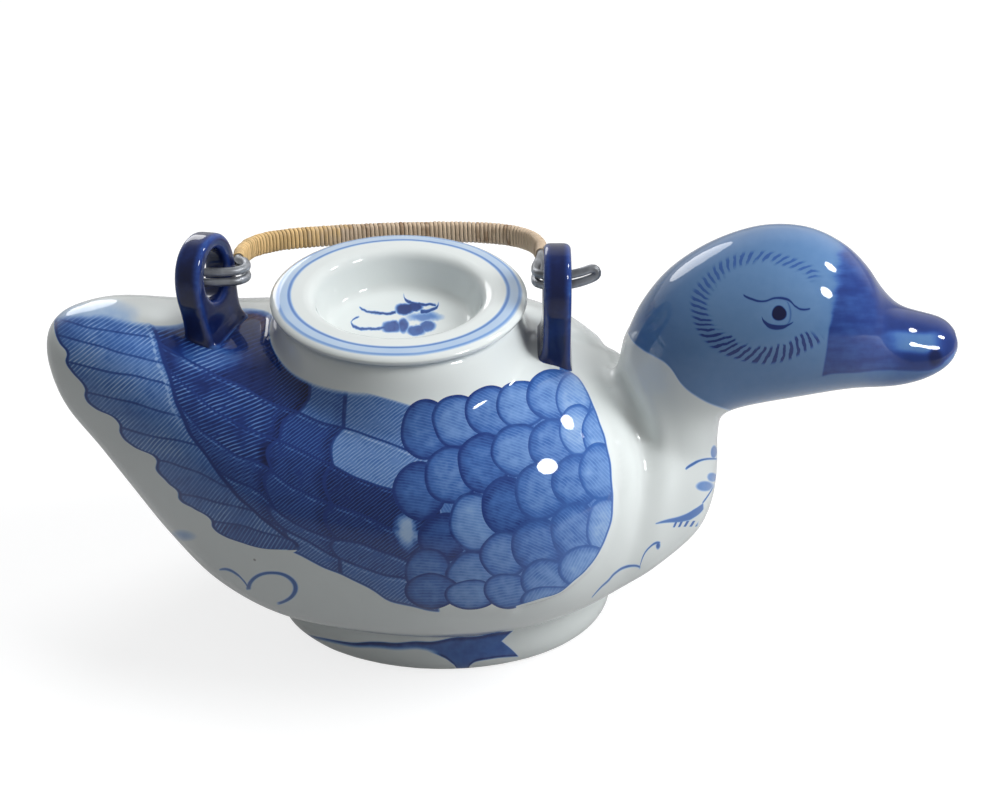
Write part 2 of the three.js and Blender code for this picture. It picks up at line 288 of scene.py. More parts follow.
def noise(tree, place, scale, detail=2.0, stretch=(1, 1, 1)):
    """Smooth random numbers from 0 to 1 over a place."""
    mapped = new_node(tree, "Mapping", [("Scale", stretch), ("Vector", place)]).outputs[0]
    inputs = ("Scale", scale), ("Detail", detail), ("Vector", mapped)
    return Amount(tree, new_node(tree, "TexNoise", inputs).outputs[0])


def chance(tree, *numbers):
    """One random number for each set of whole numbers."""
    made = new_node(tree, "TexWhiteNoise", [("Vector", vector(tree, *numbers))], noise_dimensions="3D")
    return Amount(tree, made.outputs["Value"])


def follow(amount, points):
    """The height over amount of a smooth line through points."""
    across, up = zip(*points)
    low, high = min(up) - 1, max(up) + 1
    start, end = across[0], across[-1]
    made = new_node(amount.tree, "FloatCurve")
    made.mapping.extend = "HORIZONTAL"
    line = made.mapping.curves[0]
    while len(line.points) < len(points):
        line.points.new(0.5, 0.5)
    for point, x, y in zip(line.points, across, up):
        point.location = ((x - start) / (end - start), (y - low) / (high - low))
    made.mapping.update()
    plug(amount.tree, made.inputs["Value"], (amount - start) / (end - start))
    return Amount(amount.tree, made.outputs[0]) * (high - low) + low


# The painting


# Painting coordinates are kept on the mesh as pixels of the photograph divided by this.
PER_PAINT = 1000
# How squarely a point inside the pot is said to face the painter: less than any point outside can.
INSIDE = -2
# Where the painting fades in, in millimetres, from none to full: the radius beyond the collar or the height
# below it, and the height above the foot, which carries only the leg.
COLLAR_EDGE = (35.2, 35.8)
COLLAR_LOWEST = (86.5, 85.5)
FOOT_TOP_EDGE = (10.5, 12)


def ramp(amount, colours, gaps, interpolation="LINEAR"):
    """The colour at an amount from 0 to 1, of colours an even gap apart, that is 1 divided by gaps."""
    made = new_node(amount.tree, "ValToRGB", [(0, amount)])
    made.color_ramp.interpolation = interpolation
    elements = made.color_ramp.elements
    while len(elements) < len(colours):
        elements.new(0.5)
    for index, (element, colour) in enumerate(zip(elements, colours)):
        element.position = index / gaps
        element.color = colour
    return made.outputs[0]


def ink_colour(ink, glaze):
    """The glazed colour of cobalt laid from 0, none, to 1, thick."""
    names = ("white", "pale", "light", "middle", "deep", "dark")
    return ramp(ink, [plain(getattr(glaze, name)) for name in names], len(names) - 1)


def plain(colour):
    """A display colour as the linear colour that a shader takes."""
    return [c / 12.92 if c <= 0.04045 else ((c + 0.055) / 1.055) ** 2.4 for c in colour] + [1]


def hatch(u, v, angle, spacing, wander=0):
    """Fine parallel lines left pale by the brush, as a number from 0 to 1."""
    if isinstance(angle, Amount):
        across = v * angle.do("COSINE") - u * angle.do("SINE")
    else:
        across = v * math.cos(angle) - u * math.sin(angle)
    return ((across + wander) / spacing).wave().rise(0.5, 1)


def stroke(u, v, points, swap=False):
    """A brush stroke through points of u, v and half width, drawn along u, or along v where swap is true."""
    along, across = (v, u) if swap else (u, v)
    middle = follow(along, [(p[1], p[0]) if swap else (p[0], p[1]) for p in points])
    spread = follow(along, [(p[1] if swap else p[0], p[2] * 10) for p in points]) / 10
    ends = sorted(p[1] if swap else p[0] for p in (points[0], points[-1]))
    reach = along.rise(ends[0] - 1, ends[0] + 1) * along.rise(ends[1] + 1, ends[1] - 1)
    return ((across - middle).size() - spread).rise(1, -0.9) * reach


def from_middle(place, middle, reach):
    """How far a place is from a middle, as a share of an oval's half width and half height."""
    tree = place.node.id_data
    scale = (1 / reach[0], 1 / reach[1], 0)
    shift = (-middle[0] / reach[0], -middle[1] / reach[1], 0)
    scaled = new_node(tree, "VectorMath", enumerate((place, scale, shift)), operation="MULTIPLY_ADD")
    length = new_node(tree, "VectorMath", [(0, scaled.outputs[0])], operation="LENGTH")
    return Amount(tree, length.outputs["Value"])


def blot(u, v, middle, reach, soft=0.25):
    """An oval dab of the brush."""
    return from_middle(vector(u.tree, u, v, 0), middle, reach).rise(1 + soft, 1 - soft)


def most_of(marks):
    return reduce(Amount.most, marks)


def brushed(u, v, grain, dabs, strokes):
    """Dabs, each with its middle, reach, softness, ink and share of the grain, and strokes with their ink."""
    return most_of([
        *(blot(u, v, *dab) * (ink + grain * grainy if grainy else ink) for *dab, ink, grainy in dabs),
        *(stroke(u, v, points) * ink for points, ink in strokes),
    ])


def from_table(amount, values):
    """The value of a table at a whole number."""
    greys = [(value, value, value, 1) for value in values]
    return Amount(amount.tree, ramp((amount + 0.5) / len(values), greys, len(values), "CONSTANT"))


def rows_between(v, heights):
    """Where v lies between lines: the row's number, and how far the lines above and below are."""
    gaps = [v - height for height in heights]
    passed = [gap.is_over(0) for gap in gaps]
    above = below = 400
    for gap, over in zip(gaps, passed):
        above = (gap + (1 - over) * 400).least(above)
        below = (over * 400 - gap).least(below)
    return sum(passed[1:], passed[0]), above, below


# The upper and the lower edge of the plumage, as v over u, and the front edge, as u over v.
WING_TOP = [
    (52, 321), (100, 318), (142, 325), (167, 326), (190, 321), (215, 313), (240, 309), (262, 311),
    (277, 322), (284, 345), (294, 366), (308, 377), (330, 384), (354, 390), (380, 398), (412, 407),
]
WING_FOOT = [(285, 549), (317, 564), (346, 577), (372, 590), (390, 600), (412, 607), (440, 612)]
WING_FRONT = [
    (356, 553), (366, 562), (374, 572), (380, 579), (390, 586), (400, 591), (418, 600), (440, 607),
    (465, 611), (490, 613), (515, 611.5), (535, 607), (552, 600), (568, 589), (582, 574), (592, 560),
    (600, 540), (606, 516),
]
# The lines between the flight feathers, as v over u.
FLIGHT_LINES = [
    [(150, 338), (190, 361), (215, 375), (240, 386), (266, 399), (292, 410), (317, 421), (343, 428),
     (372, 437), (412, 452)],
    [(160, 362), (190, 389), (208, 404), (234, 422), (263, 435), (281, 442), (306, 453), (337, 467),
     (365, 480), (400, 491)],
    [(170, 392), (190, 418), (212, 438), (234, 453), (268, 468), (299, 490), (328, 502), (354, 513),
     (400, 532)],
    [(190, 440), (228, 478), (263, 495), (281, 515), (306, 529), (335, 538), (365, 546), (405, 560)],
    [(230, 500), (281, 528), (317, 547), (346, 560), (372, 571), (412, 580)],
]
# Where the flight feathers end, as u over v.
FLIGHT_ENDS = [
    [(350, 309), (392, 308), (404, 302), (418, 291), (434, 284), (452, 272), (490, 270), (520, 277),
     (560, 296)],
    [(380, 350), (410, 344), (432, 340), (450, 335), (485, 329), (520, 331), (560, 338), (600, 342)],
]
# The ink of the flight feathers, a line for each row from the back down, from the tail towards the breast.
FLIGHT_INK = [
    (0.92, 0.62, 0.56),
    (0.88, 0.82, 0.52),
    (0.88, 0.86, 0.92),
    (0.82, 0.82, 0.86),
    (0.76, 0.74, 0.74),
    (0.7, 0.66, 0.64),
]
# The tail: its scalloped margin as u over v, the lines of its feathers as v over u, and the line that
# divides it from the flight feathers, as u over v.
TAIL_MARGIN = [
    (318, 54), (332, 55), (343, 59), (353, 67), (361, 66), (372, 71), (389, 84), (397, 84), (408, 94),
    (424, 119), (432, 120), (445, 133), (459, 156), (471, 156), (483, 166), (491, 177), (499, 179),
    (509, 192), (520, 211), (528, 213), (537, 226), (545, 250), (550, 290), (551, 306),
]
TAIL_LINES = [
    [(56, 318), (85, 326), (122, 332), (149, 337), (162, 339)],
    [(56, 335), (95, 345), (127, 355), (156, 361), (172, 366)],
    [(60, 359), (91, 367), (118, 373), (149, 379), (175, 388)],
    [(78, 391), (116, 399), (149, 408), (185, 419)],
    [(112, 424), (149, 434), (189, 443), (205, 449)],
    [(150, 459), (178, 465), (209, 479), (225, 487)],
    [(170, 491), (204, 499), (240, 507), (262, 513)],
    [(205, 520), (240, 526), (267, 533), (290, 540)],
]
DIVIDER = [
    (322, 150), (335, 156), (370, 167), (395, 175), (421, 184), (445, 198), (468, 215), (492, 233),
    (514, 258), (535, 282), (546, 296), (550, 297), (554, 286), (560, 270),
]
# The round feathers of the fore-wing, each laid over those before it: the middle's u and v, the half width
# and half height, the ink, and the slope of its hatching in degrees.
SCALES = [
    (426, 430, 26, 30, 0.6, 14), (459, 421, 27, 27, 0.5, 20), (491, 412, 27, 26, 0.54, 25),
    (521, 404, 26, 24, 0.46, 22), (553, 395, 27, 26, 0.48, 28), (574, 397, 18, 26, 0.4, 34),
    (420, 490, 27, 29, 0.64, 8), (452, 475, 27, 30, 0.56, 10), (484, 463, 26, 30, 0.62, 14),
    (518, 450, 27, 27, 0.5, 20), (553, 445, 25, 27, 0.54, 26), (577, 430, 18, 27, 0.36, 34),
    (600, 434, 18, 30, 0.44, 48), (443, 537, 25, 24, 0.72, 6), (474, 522, 26, 30, 0.44, 10),
    (507, 506, 26, 30, 0.66, 20), (541, 491, 27, 29, 0.54, 26), (576, 481, 25, 27, 0.54, 36),
    (600, 471, 22, 29, 0.46, 46), (428, 572, 24, 25, 0.58, 4), (473, 575, 27, 25, 0.5, 4),
    (503, 555, 24, 24, 0.52, 12), (538, 545, 26, 28, 0.58, 24), (575, 531, 25, 29, 0.54, 44),
    (607, 528, 21, 32, 0.38, 56), (432, 591, 28, 18, 0.6, 0), (470, 595, 26, 15, 0.48, 0),
    (508, 591, 24, 18, 0.52, -10), (546, 580, 27, 22, 0.5, -40), (586, 567, 28, 23, 0.42, -62),
    (556, 601, 36, 15, 0.44, -58),
]
SCALE_SIZE = 25
NECKLINE = [
    (612, 318), (624, 327), (632, 341), (640, 348), (655, 356), (667, 364), (684, 386), (705, 400),
    (722, 408), (740, 412),
]
MOUTH = [(730, 384), (790, 383), (818, 377), (840, 372), (880, 369), (930, 368), (946, 359), (960, 344)]
FOOT_TOP = [
    (276, 606), (290, 622), (300, 632), (320, 638), (340, 641), (380, 642.5), (420, 642), (460, 638),
    (518, 631),
]
FOOT_UNDER = [
    (276, 608), (290, 626), (300, 637), (320, 642), (340, 646), (365, 649), (400, 651), (428, 652),
    (443, 657), (455, 665), (464, 671), (471, 664), (478, 660), (492, 658), (518, 656),
]


def fore_wing(u, v, fine_u, fine_v, grain):
    """Round feathers with fine hatching: ink and where it lies."""
    tree = u.tree
    place = vector(tree, u, v, 0)
    top = vector(tree, 0.58, 2, 1)
    for middle_u, middle_v, wide, high, wash, slope in SCALES:
        away = from_middle(place, (middle_u, middle_v), (wide, high))
        inside = away.is_under(1)
        scale = vector(tree, wash, away, math.radians(slope))
        top = mixed(tree, top, scale, inside, "VECTOR")
    ink, away, angle = parts_of(tree, top)
    edge = (1 - away).size() * SCALE_SIZE + (grain - 0.5) * 1.6
    front = follow(v, WING_FRONT) - u
    inner_gaps = (v + u * 0.27).is_over(547) * v.is_under(591) * u.is_over(440)
    front_gaps = u.is_over(560).most(v.is_over(580) * u.is_over(525))
    beyond = front_gaps.most(inner_gaps)
    mask = away.is_under(1).most(beyond) * front.brush_edge()
    lines = hatch(fine_u, fine_v, angle, 2.9, (grain - 0.5) * 2.4)
    ink = ink + (grain - 0.5) * 0.36 + edge.rise(13, 2) * 0.12 - lines * (grain - 0.2) * 0.22
    outline = 0.82 - u.rise(450, 600) * 0.15
    ink = between(ink, outline, edge.rise(4.2, 1.4) * (0.45 + grain * 0.75))
    ink = between(ink, 0.66, front.rise(2.4, 1))
    return ink, mask


def flight_feathers(u, v, fine_u, fine_v, grain, patchy):
    """Long feathers in rows that slope down towards the breast."""
    row, above, below = rows_between(v, [follow(u, line) for line in FLIGHT_LINES])
    side = (above - below) / (above + below)
    arc = (1 - side * side) * 8 - 3
    number, before, after = rows_between(u, [follow(v, line) - arc for line in FLIGHT_ENDS])
    top = v - follow(u, WING_TOP)
    foot = follow(u, WING_FOOT) - v
    mask = top.rise(-2, 2) * foot.brush_edge() * u.rise(441, 438)
    inks = [ink for line in FLIGHT_INK for ink in line]
    ink = from_table(row * len(FLIGHT_INK[0]) + number, inks) + (grain - 0.5) * 0.2
    rear = u.rise(282, 262) * row.rise(3.4, 2.4)
    faded = blot(u, v, (212, 358), (34, 13), 0.5)
    ink = ink - faded * 0.2
    thinned = 1 - row.rise(0.6, 0.4) * u.rise(205, 235) * 0.7
    broad = hatch(fine_u, fine_v, -0.38, 3.9, (patchy - 0.5) * 5) * rear * thinned
    fine = hatch(fine_u, fine_v, -0.66, 3, (grain - 0.5) * 2) * (1 - rear)
    ink = ink - broad * 0.4 * patchy.rise(0.3, 0.6) * grain.rise(0.2, 0.5)
    ink = ink - fine * 0.22 * grain.rise(0.2, 0.5)
    ink = ink + after.rise(16, 3) * 0.08
    pale = (above - 3.6).size().rise(1.5, 0.4) * grain.rise(0.42, 0.58)
    ink = ink - pale * 0.15
    ink = between(ink, 0.8, above.least(below).rise(1.9, 0.5) * (0.6 + grain * 0.6))
    ink = between(ink, 0.8, before.least(after * 1.3).rise(3.2, 1.2) * (0.6 + grain * 0.6))
    ink = between(ink, 0.74, foot.rise(2.8, 1.2))
    missed = blot(u + (grain - 0.5) * 12, v + (patchy - 0.5) * 12, (407, 531), (10.5, 16), 0.5)
    ink = between(ink, 0.12 + grain * 0.1, missed * 0.9)
    return between(ink, 0.3 + grain * 0.3, top.rise(7, 1) * u.rise(290, 270)), mask


def tail_fan(u, v, fine_u, fine_v, grain, patchy):
    """Feathers that spread from the dividing line to a scalloped margin."""
    row, above, below = rows_between(v, [follow(u, line) for line in TAIL_LINES])
    margin = u - follow(v, TAIL_MARGIN)
    divider = follow(v, DIVIDER) - u
    top = v - follow(u, WING_TOP)
    mask = margin.brush_edge() * (top + u * 0.1).rise(-14, 4) * (follow(u, WING_FOOT) - v).brush_edge()
    angle = -0.58 - row * 0.05
    lines = hatch(fine_u, fine_v, angle, 3.6, (patchy - 0.5) * 4)
    ink = 0.52 + chance(u.tree, row, 3, 5) * 0.12 + (grain - 0.5) * 0.26
    ink = ink + u.rise(90, 50) * 0.1 + v.rise(440, 520) * 0.12
    ink = ink - lines * 0.34 * (0.4 + patchy.rise(0.4, 0.65) * 0.6) * grain.rise(0.15, 0.5)
    ink = between(ink, 0.78, above.least(below * 1.4).rise(2.0, 0.5) * (0.5 + grain * 0.6))
    ink = between(ink, 0.78, margin.rise(4.4, 1.8))
    ink = between((0.16 + grain * 0.14) * u.rise(150, 118), ink, top.rise(-5, 3))
    return ink, mask, divider


def wing(u, v, fine_u, fine_v, grain, patchy):
    """All the plumage of the body."""
    scales, scale_mask = fore_wing(u, v, fine_u, fine_v, grain)
    flight, flight_mask = flight_feathers(u, v, fine_u, fine_v, grain, patchy)
    tail, tail_mask, divider = tail_fan(u, v, fine_u, fine_v, grain, patchy)
    ink = between(flight * flight_mask, tail * tail_mask, divider.rise(-1, 1))
    reach = v.rise(322, 334) * v.rise(552, 546)
    across = divider * 0.82
    beads = (v / 7.5 + grain).wave() * 1.7 - 0.2
    ink = between(ink, 0.3, ((across - 5.2).size() - beads).rise(0.9, -0.9) * reach * v.rise(440, 400))
    ink = between(ink, 0.82, (across.size() - 1.3).rise(1.5, -0.6) * reach)
    return between(ink, scales, scale_mask)


def head_wash(u, v, grain, streaks):
    """The wash on the head, its fringed oval, and the darker face and bill, with a painted sheen along the
    bill's side: ink and where it lies.
    """
    edge = follow(u, NECKLINE) - v
    mask = edge.rise(-2.5, 1.5) * u.rise(608, 612)
    ink = 0.5 + (grain - 0.5) * 0.1 + edge.rise(9, 1) * 0.04
    ink = ink + blot(u, v, (648, 322), (26, 34), 1.2) * 0.1
    x = (u - 763) / 64
    y = (v - 306) / 49
    ring = (x * x + y * y).root()
    ink = ink - ring.rise(1.0, 0.82) * 0.07
    angle = y.do("ARCTAN2", x)
    dashes = (angle * (50 / (2 * math.pi)) - ring * 4.6 + (grain - 0.5) * 0.7).wave().rise(0.4, 0.74)
    deep = 0.12 + v.rise(300, 350) * 0.04 + (grain - 0.5) * 0.1
    reach = ((ring - 1 + (grain - 0.5) * 0.14).size() - deep).rise(0.05, -0.05) * angle.size().rise(0.5, 0.7)
    strength = 0.55 + v.rise(280, 350) * 0.45
    ink = between(ink, 0.84, dashes * reach * strength)
    soft = v.rise(340, 270)
    front = (u - 837 + (v - 277) * 0.15 + (streaks - 0.5) * soft * 14).rise(-1.5 - soft * 8, 1.5 + soft * 8)
    ink = between(ink, 0.78 + (streaks - 0.5) * 0.16 + (grain - 0.5) * 0.1, front)
    ridge = (u - 880 - (v - 300) * 0.3).rise(-14, 14)
    # Painted sheen: the bill is left paler in a band along its near side, where light falls on it.
    side = (v - 342).size().rise(14, 6) * u.rise(868, 884) * u.rise(950, 930)
    ink = between(ink, 0.86 + (grain - 0.5) * 0.08 - side * 0.26, ridge * (v - 366).rise(6, -6))
    ink = between(ink, 0.97, blot(u, v, (935, 357), (6.5, 8.5), 0.4))
    mouth = follow(u, MOUTH)
    low = (v - mouth).rise(-1, 3)
    ink = between(ink, 0.47 + (grain - 0.5) * 0.08 + u.rise(800, 900) * 0.16, low * u.rise(740, 800))
    ink = between(ink, 0.8, (v - mouth).size().rise(1.8, 0.5) * u.rise(812, 835) * 0.5)
    return ink, mask


def eye(u, v):
    """The eye: a pale patch, a waved upper lid with a crescent under it, and a dark dot."""
    pale = blot(u, v, (773, 313), (20, 13), 0.4) * 0.6
    lid = stroke(u, v, [
        (744, 295, 0.9), (752, 299, 1.3), (762, 301, 1), (776, 298.5, 1), (787, 299, 1.3),
        (796, 306, 1.1), (803, 309, 1), (810, 308.5, 0.7),
    ])
    under = stroke(u, v, [
        (761, 317, 0.6), (765, 323, 1.9), (773, 327.5, 2.5), (782, 328, 2.2), (789, 325, 1.2),
        (793, 322, 0.6),
    ])
    rim = stroke(u, v, [(786, 301, 0.6), (790, 307, 0.8), (790, 318, 0.8), (787, 325, 0.5)], swap=True)
    dot = blot(u, v, (779, 313.5), (7.6, 7.8), 0.14)
    return pale, lid.most(under).most(rim * 0.6), dot


def breast_sprigs(u, v, grain):
    """Leafy strokes on the breast and a tendril below them."""
    teeth = (u / 5.4 + v / 9).wave().rise(0.45, 0.75) * (v - 523.5).size().rise(3.4, 2.2)
    teeth = teeth * u.rise(671, 675) * u.rise(699, 694)
    dabs = [
        ((714, 452), (3, 7), 0.25, 0.5, 0),
        ((704, 486), (9, 4.4), 0.3, 0.34, 0.2),
        ((712, 478), (5, 4), 0.3, 0.34, 0.2),
        ((658.5, 546), (1.9, 3.4), 0.5, 0.66, 0),
    ]
    strokes = [
        ([(685, 469, 0.7), (692, 465, 1.5), (703, 461, 1), (720, 459, 0.8)], 0.62),
        ([(702, 503, 1), (708, 495, 1.2), (713, 487, 0.8)], 0.6),
        ([(656, 523, 0.4), (668, 519.5, 1.6), (684, 518, 3), (694, 513, 4), (703, 506, 3)], 0.56),
        ([(592, 596, 0.6), (600, 586, 0.9), (607, 580, 1), (616, 572, 1), (625, 567.5, 1.1), (633, 567, 0.9),
          (639, 568.5, 1.3)], 0.64),
        ([(638, 570, 0.9), (643, 558, 1), (650, 548.5, 1), (656, 543.5, 1.2), (660, 543, 1)], 0.62),
    ]
    return brushed(u, v, grain, dabs, strokes).most(teeth * 0.6)


def belly_curls(u, v):
    """Two curls under the wing, and a faint mark below the tail."""
    x = (u - 272) / 23.5
    y = (v - 588) / 15.5
    ring = ((x * x + y * y).root() - 1) * 17
    opening = y.do("ARCTAN2", x)
    turn = opening.rise(1.35, 1.15).most(opening.rise(2.95, 3.1))
    arc = [(219, 570, 0.5), (227, 569.5, 1.1), (236, 573, 1.2), (243, 580, 1.1), (248.5, 589, 1.4)]
    return most_of([
        ring.size().rise(2.3, 0.7) * turn * 0.62,
        stroke(u, v, arc) * 0.62,
        blot(u, v, (182, 536), (10, 4), 0.9) * 0.3,
    ])


def webbed_foot(u, v, grain):
    """The leg's long line and the webbed foot on the pot's foot."""
    over = v - follow(u, FOOT_TOP)
    under = follow(u, FOOT_UNDER) - v
    notch = (u - 502 - (v - 642).size() * 1.1).rise(1, -1)
    leg = u.rise(445, 425)
    shape = over.brush_edge() * under.brush_edge() * between(1, under.rise(0, 5), leg)
    shape = shape * notch * u.rise(277, 283)
    dark = over.rise(5, 1).most(under.rise(3, 1) * (1 - leg))
    return shape * (0.66 + dark * 0.18 + (grain - 0.5) * 0.24)


def paint_place(tree, name):
    """A side's painting coordinates, and how squarely the surface faces that side's painter."""
    u, v, seen = parts_of_attribute(tree, name)
    return u * PER_PAINT, v * PER_PAINT, seen


def new_material(name, settings):
    """A material with values on its shader's sockets: the material, its tree and the sockets."""
    material = bpy.data.materials.new(name)
    material.use_nodes = True
    sockets = material.node_tree.nodes["Principled BSDF"].inputs
    for key, value in settings.items():
        sockets[key].default_value = value
    return material, material.node_tree, sockets


def bumps(tree, height, strength, distance):
    """The normals of a surface with a height laid on it."""
    inputs = ("Strength", strength), ("Distance", distance * MM), ("Height", height)
    return new_node(tree, "Bump", inputs).outputs[0]


def glaze_shader(name, colour):
    """Clear gloss glaze over a coloured body, with the slight waviness of a poured glaze."""
    material, tree, sockets = new_material(name, {
        "Roughness": 0.5,
        "Specular IOR Level": 0.05,
        "Coat Weight": 1,
        "Coat Roughness": 0.035,
        "Coat IOR": 1.5,
    })
    tree.links.new(colour(tree), sockets["Base Color"])
    wavy = bumps(tree, noise(tree, object_place(tree), 45, 1.5), 0.12, 0.6)
    tree.links.new(wavy, sockets["Normal"])
    tree.links.new(wavy, sockets["Coat Normal"])
    return material


def porcelain_body(tree, place, glaze):
    """White porcelain with a faint cloudiness and a few tiny iron specks."""
    cloud = noise(tree, place, 14, 2)
    white = mixed(tree, plain(glaze.white), plain([c * 0.965 for c in glaze.white]), cloud.rise(0.35, 0.7))
    spot = new_node(tree, "TexVoronoi", [("Scale", 38), ("Vector", place)])
    speck = Amount(tree, spot.outputs["Distance"]).rise(0.022, 0.012)
    return mixed(tree, white, plain((0.3, 0.27, 0.25)), speck * 0.6)


def bare_places(tree, place):
    """0 on the filling collar and inside it, 1 beyond, and 0 on the foot, 1 above it."""
    x, y, z = (part / MM for part in parts_of(tree, place))
    x = x - MOUTH_X
    collar = (x * x + y * y).root().rise(*COLLAR_EDGE).most(z.rise(*COLLAR_LOWEST))
    return collar, z.rise(*FOOT_TOP_EDGE)


def pot_paint(glaze):
    """The material of the painted pot."""

    def colour(tree):
        place = object_place(tree)
        near_u, near_v, near_seen = paint_place(tree, "near_paint")
        far_u, far_v, far_seen = paint_place(tree, "far_paint")
        side = near_seen.is_under(0)
        exact_u, exact_v = between(near_u, far_u, side), between(near_v, far_v, side)
        seen = between(near_seen, far_seen, side)
        paint = vector(tree, exact_u / PER_PAINT, exact_v / PER_PAINT, side)
        drift = noise(tree, paint, 34, 0)
        sway = noise(tree, paint, 29, 0, stretch=(1.1, 0.9, 1))
        u = exact_u + (drift - 0.5) * 5
        v = exact_v + (sway - 0.5) * 5
        grain = noise(tree, paint, 105, 2)
        patchy = noise(tree, paint, 24, 2)
        streaks = noise(tree, paint, 60, 3, stretch=(0.5, 2.2, 1))
        facing = seen.rise(-0.02, 0.12)
        beyond_collar, above_foot = bare_places(tree, place)
        plumage = wing(u, v, exact_u, exact_v, grain, patchy)
        body_ink = plumage.most(breast_sprigs(u, v, grain)).most(belly_curls(u, v))
        body_ink = (body_ink * above_foot).most(webbed_foot(u, v, grain)) * facing * beyond_collar
        head_ink, head_mask = head_wash(u, v, grain, streaks)
        head_mask = head_mask * seen.rise(-1.6, -1.2)
        pale, lines, dot = eye(u, v)
        head_ink = between(head_ink, 0.36, pale * facing)
        head_ink = between(head_ink, 0.86, lines * facing)
        head_ink = between(head_ink, 1.0, dot * facing)
        ink = between(body_ink, head_ink, head_mask)
        painted = ink_colour(ink, glaze)
        slate = head_mask * ink.rise(0.72, 0.56) * ink.rise(0.3, 0.4)
        painted = mixed(tree, painted, plain(glaze.slate), slate * 0.62)
        bare = porcelain_body(tree, place, glaze)
        return mixed(tree, bare, painted, ink.rise(0.0, 0.1))

    return glaze_shader("painted_porcelain", colour)


def lid_paint(glaze):
    """The lid: two blue rings with a pale wash between, and a small brushed motif in the dish."""

    def colour(tree):
        place = object_place(tree)
        x, y, z = (part / MM for part in parts_of(tree, place))
        x = x - MOUTH_X
        radius = (x * x + y * y).root()
        wobble = noise(tree, place, 60, 2)
        radius = radius + (wobble - 0.5) * 0.7
        rings = (radius - 29.8).size().rise(0.95, 0).most((radius - 32.8).size().rise(1, 0) * 0.75)
        rings = rings * (0.4 + wobble * 0.26)
        wash = radius.rise(29, 30.4) * radius.rise(33.8, 32.4) * (0.09 + wobble * 0.16)
        u, v, _ = paint_place(tree, "near_paint")
        grain = noise(tree, vector(tree, u / PER_PAINT, v / PER_PAINT, 0), 110, 3)
        motif = brushed_motif(u + (wobble - 0.5) * 7, v + (grain - 0.5) * 6, grain) * radius.rise(19.6, 19)
        upper = z.rise(90, 90.6)
        ink = (rings.most(wash).most(motif)) * upper
        bare = porcelain_body(tree, place, glaze)
        return mixed(tree, bare, ink_colour(ink, glaze), ink.rise(0.0, 0.1))

    return glaze_shader("painted_lid", colour)


def brushed_motif(u, v, grain):
    """Dabs and tendrils of a small brushed flower."""
    dabs = [
        ((404, 309), (9, 5.4), 0.3, 0.74, 0.2),
        ((414, 307), (8, 4), 0.3, 0.7, 0.2),
        ((391, 327), (9, 6), 0.3, 0.56, 0.3),
        ((403, 325), (5, 7), 0.3, 0.56, 0.3),
        ((416, 330), (9, 5.4), 0.3, 0.54, 0.3),
        ((427, 326), (8, 5), 0.3, 0.5, 0.3),
        ((424, 317), (15, 4), 0.6, 0.5, 0),
    ]
    strokes = [
        ([(359, 307.5, 0.8), (368, 311.5, 1), (378, 313.2, 1.1), (395, 312, 1.4)], 0.78),
        ([(350, 323, 1), (356, 327.5, 1.3), (367, 329, 1.2), (386, 327, 1.2)], 0.72),
        ([(350.5, 323, 1), (353, 319.5, 1), (358, 316.5, 0.9)], 0.72),
        ([(403.5, 296, 1.6), (407, 301, 1.7), (414, 304, 1.3), (424, 305, 1.2), (436, 304.5, 1)], 0.78),
        ([(420, 311, 1.8), (430, 311, 1.8), (436, 307.5, 1.6), (438.5, 303, 1.4)], 0.75),
    ]
    return brushed(u, v, grain, dabs, strokes)


def cobalt_glaze(glaze):
    """Dark cobalt that breaks paler over the edges."""

    def colour(tree):
        place = object_place(tree)
        edge = Amount(tree, new_node(tree, "NewGeometry").outputs["Pointiness"])
        cloud = noise(tree, place, 120, 3)
        ink = 0.98 - edge.rise(0.505, 0.54) * 0.34 - cloud.rise(0.45, 0.75) * 0.08
        return ink_colour(ink, glaze)

    return glaze_shader("cobalt_glaze", colour)


def steel_wire(sizes):
    """Dull drawn wire with fine lines along it and darker patches."""
    material, tree, sockets = new_material("drawn_wire", {"Metallic": 0.75})
    patch = noise(tree, object_place(tree), 160, 3)
    dull = [c * 0.72 for c in sizes.steel]
    colour = mixed(tree, plain(dull), plain(sizes.steel), patch.rise(0.3, 0.65))
    tree.links.new(colour, sockets["Base Color"])
    plug(tree, sockets["Roughness"], 0.36 + patch * 0.14)
    return material


def split_cane(sizes):
    """Cane with fibres along the strip, golden at the rear and browner where hands have held it, with painted
    shade along the edges of each turn.
    """
    settings = {"Roughness": 0.46, "Specular IOR Level": 0.35}
    material, tree, sockets = new_material("split_cane", settings)
    along, across, turn = parts_of_attribute(tree, "strip")
    fibre = noise(tree, vector(tree, along * 0.25, across * 9, turn * 3.1), 3, 3)
    blotch = noise(tree, vector(tree, along * 0.35, turn * 0.2, 0), 1.2, 2)
    age = chance(tree, turn.floor(), 2, 4)
    tone = fibre * 0.3 + blotch * 0.5 + age * 0.35
    held = (turn / sizes.turns + (blotch - 0.5) * 0.3).rise(0.26, 0.42)
    brown = [c * k for c, k in zip(sizes.aged, (0.66, 0.56, 0.46))]
    clean = mixed(tree, plain([c * 0.9 for c in sizes.cane]), plain(sizes.cane), tone.rise(0.35, 0.7))
    grey = mixed(tree, plain(brown), plain(sizes.aged), tone.rise(0.28, 0.52))
    colour = mixed(tree, clean, grey, held)
    # Painted shade: each turn is darkened along both its edges, towards half the aged colour, as if the gaps
    # between turns lay in shadow.
    groove = (across - 0.5).size().rise(0.38, 0.5)
    colour = mixed(tree, colour, plain([c * 0.5 for c in sizes.aged]), groove * 0.55)
    tree.links.new(colour, sockets["Base Color"])
    tree.links.new(bumps(tree, fibre, 0.3, 0.2), sockets["Normal"])
    return material


# Modelling


def only(obj):
    """Selects one object and makes it active."""
    bpy.ops.object.select_all(action="DESELECT")
    obj.select_set(True)
    bpy.context.view_layer.objects.active = obj


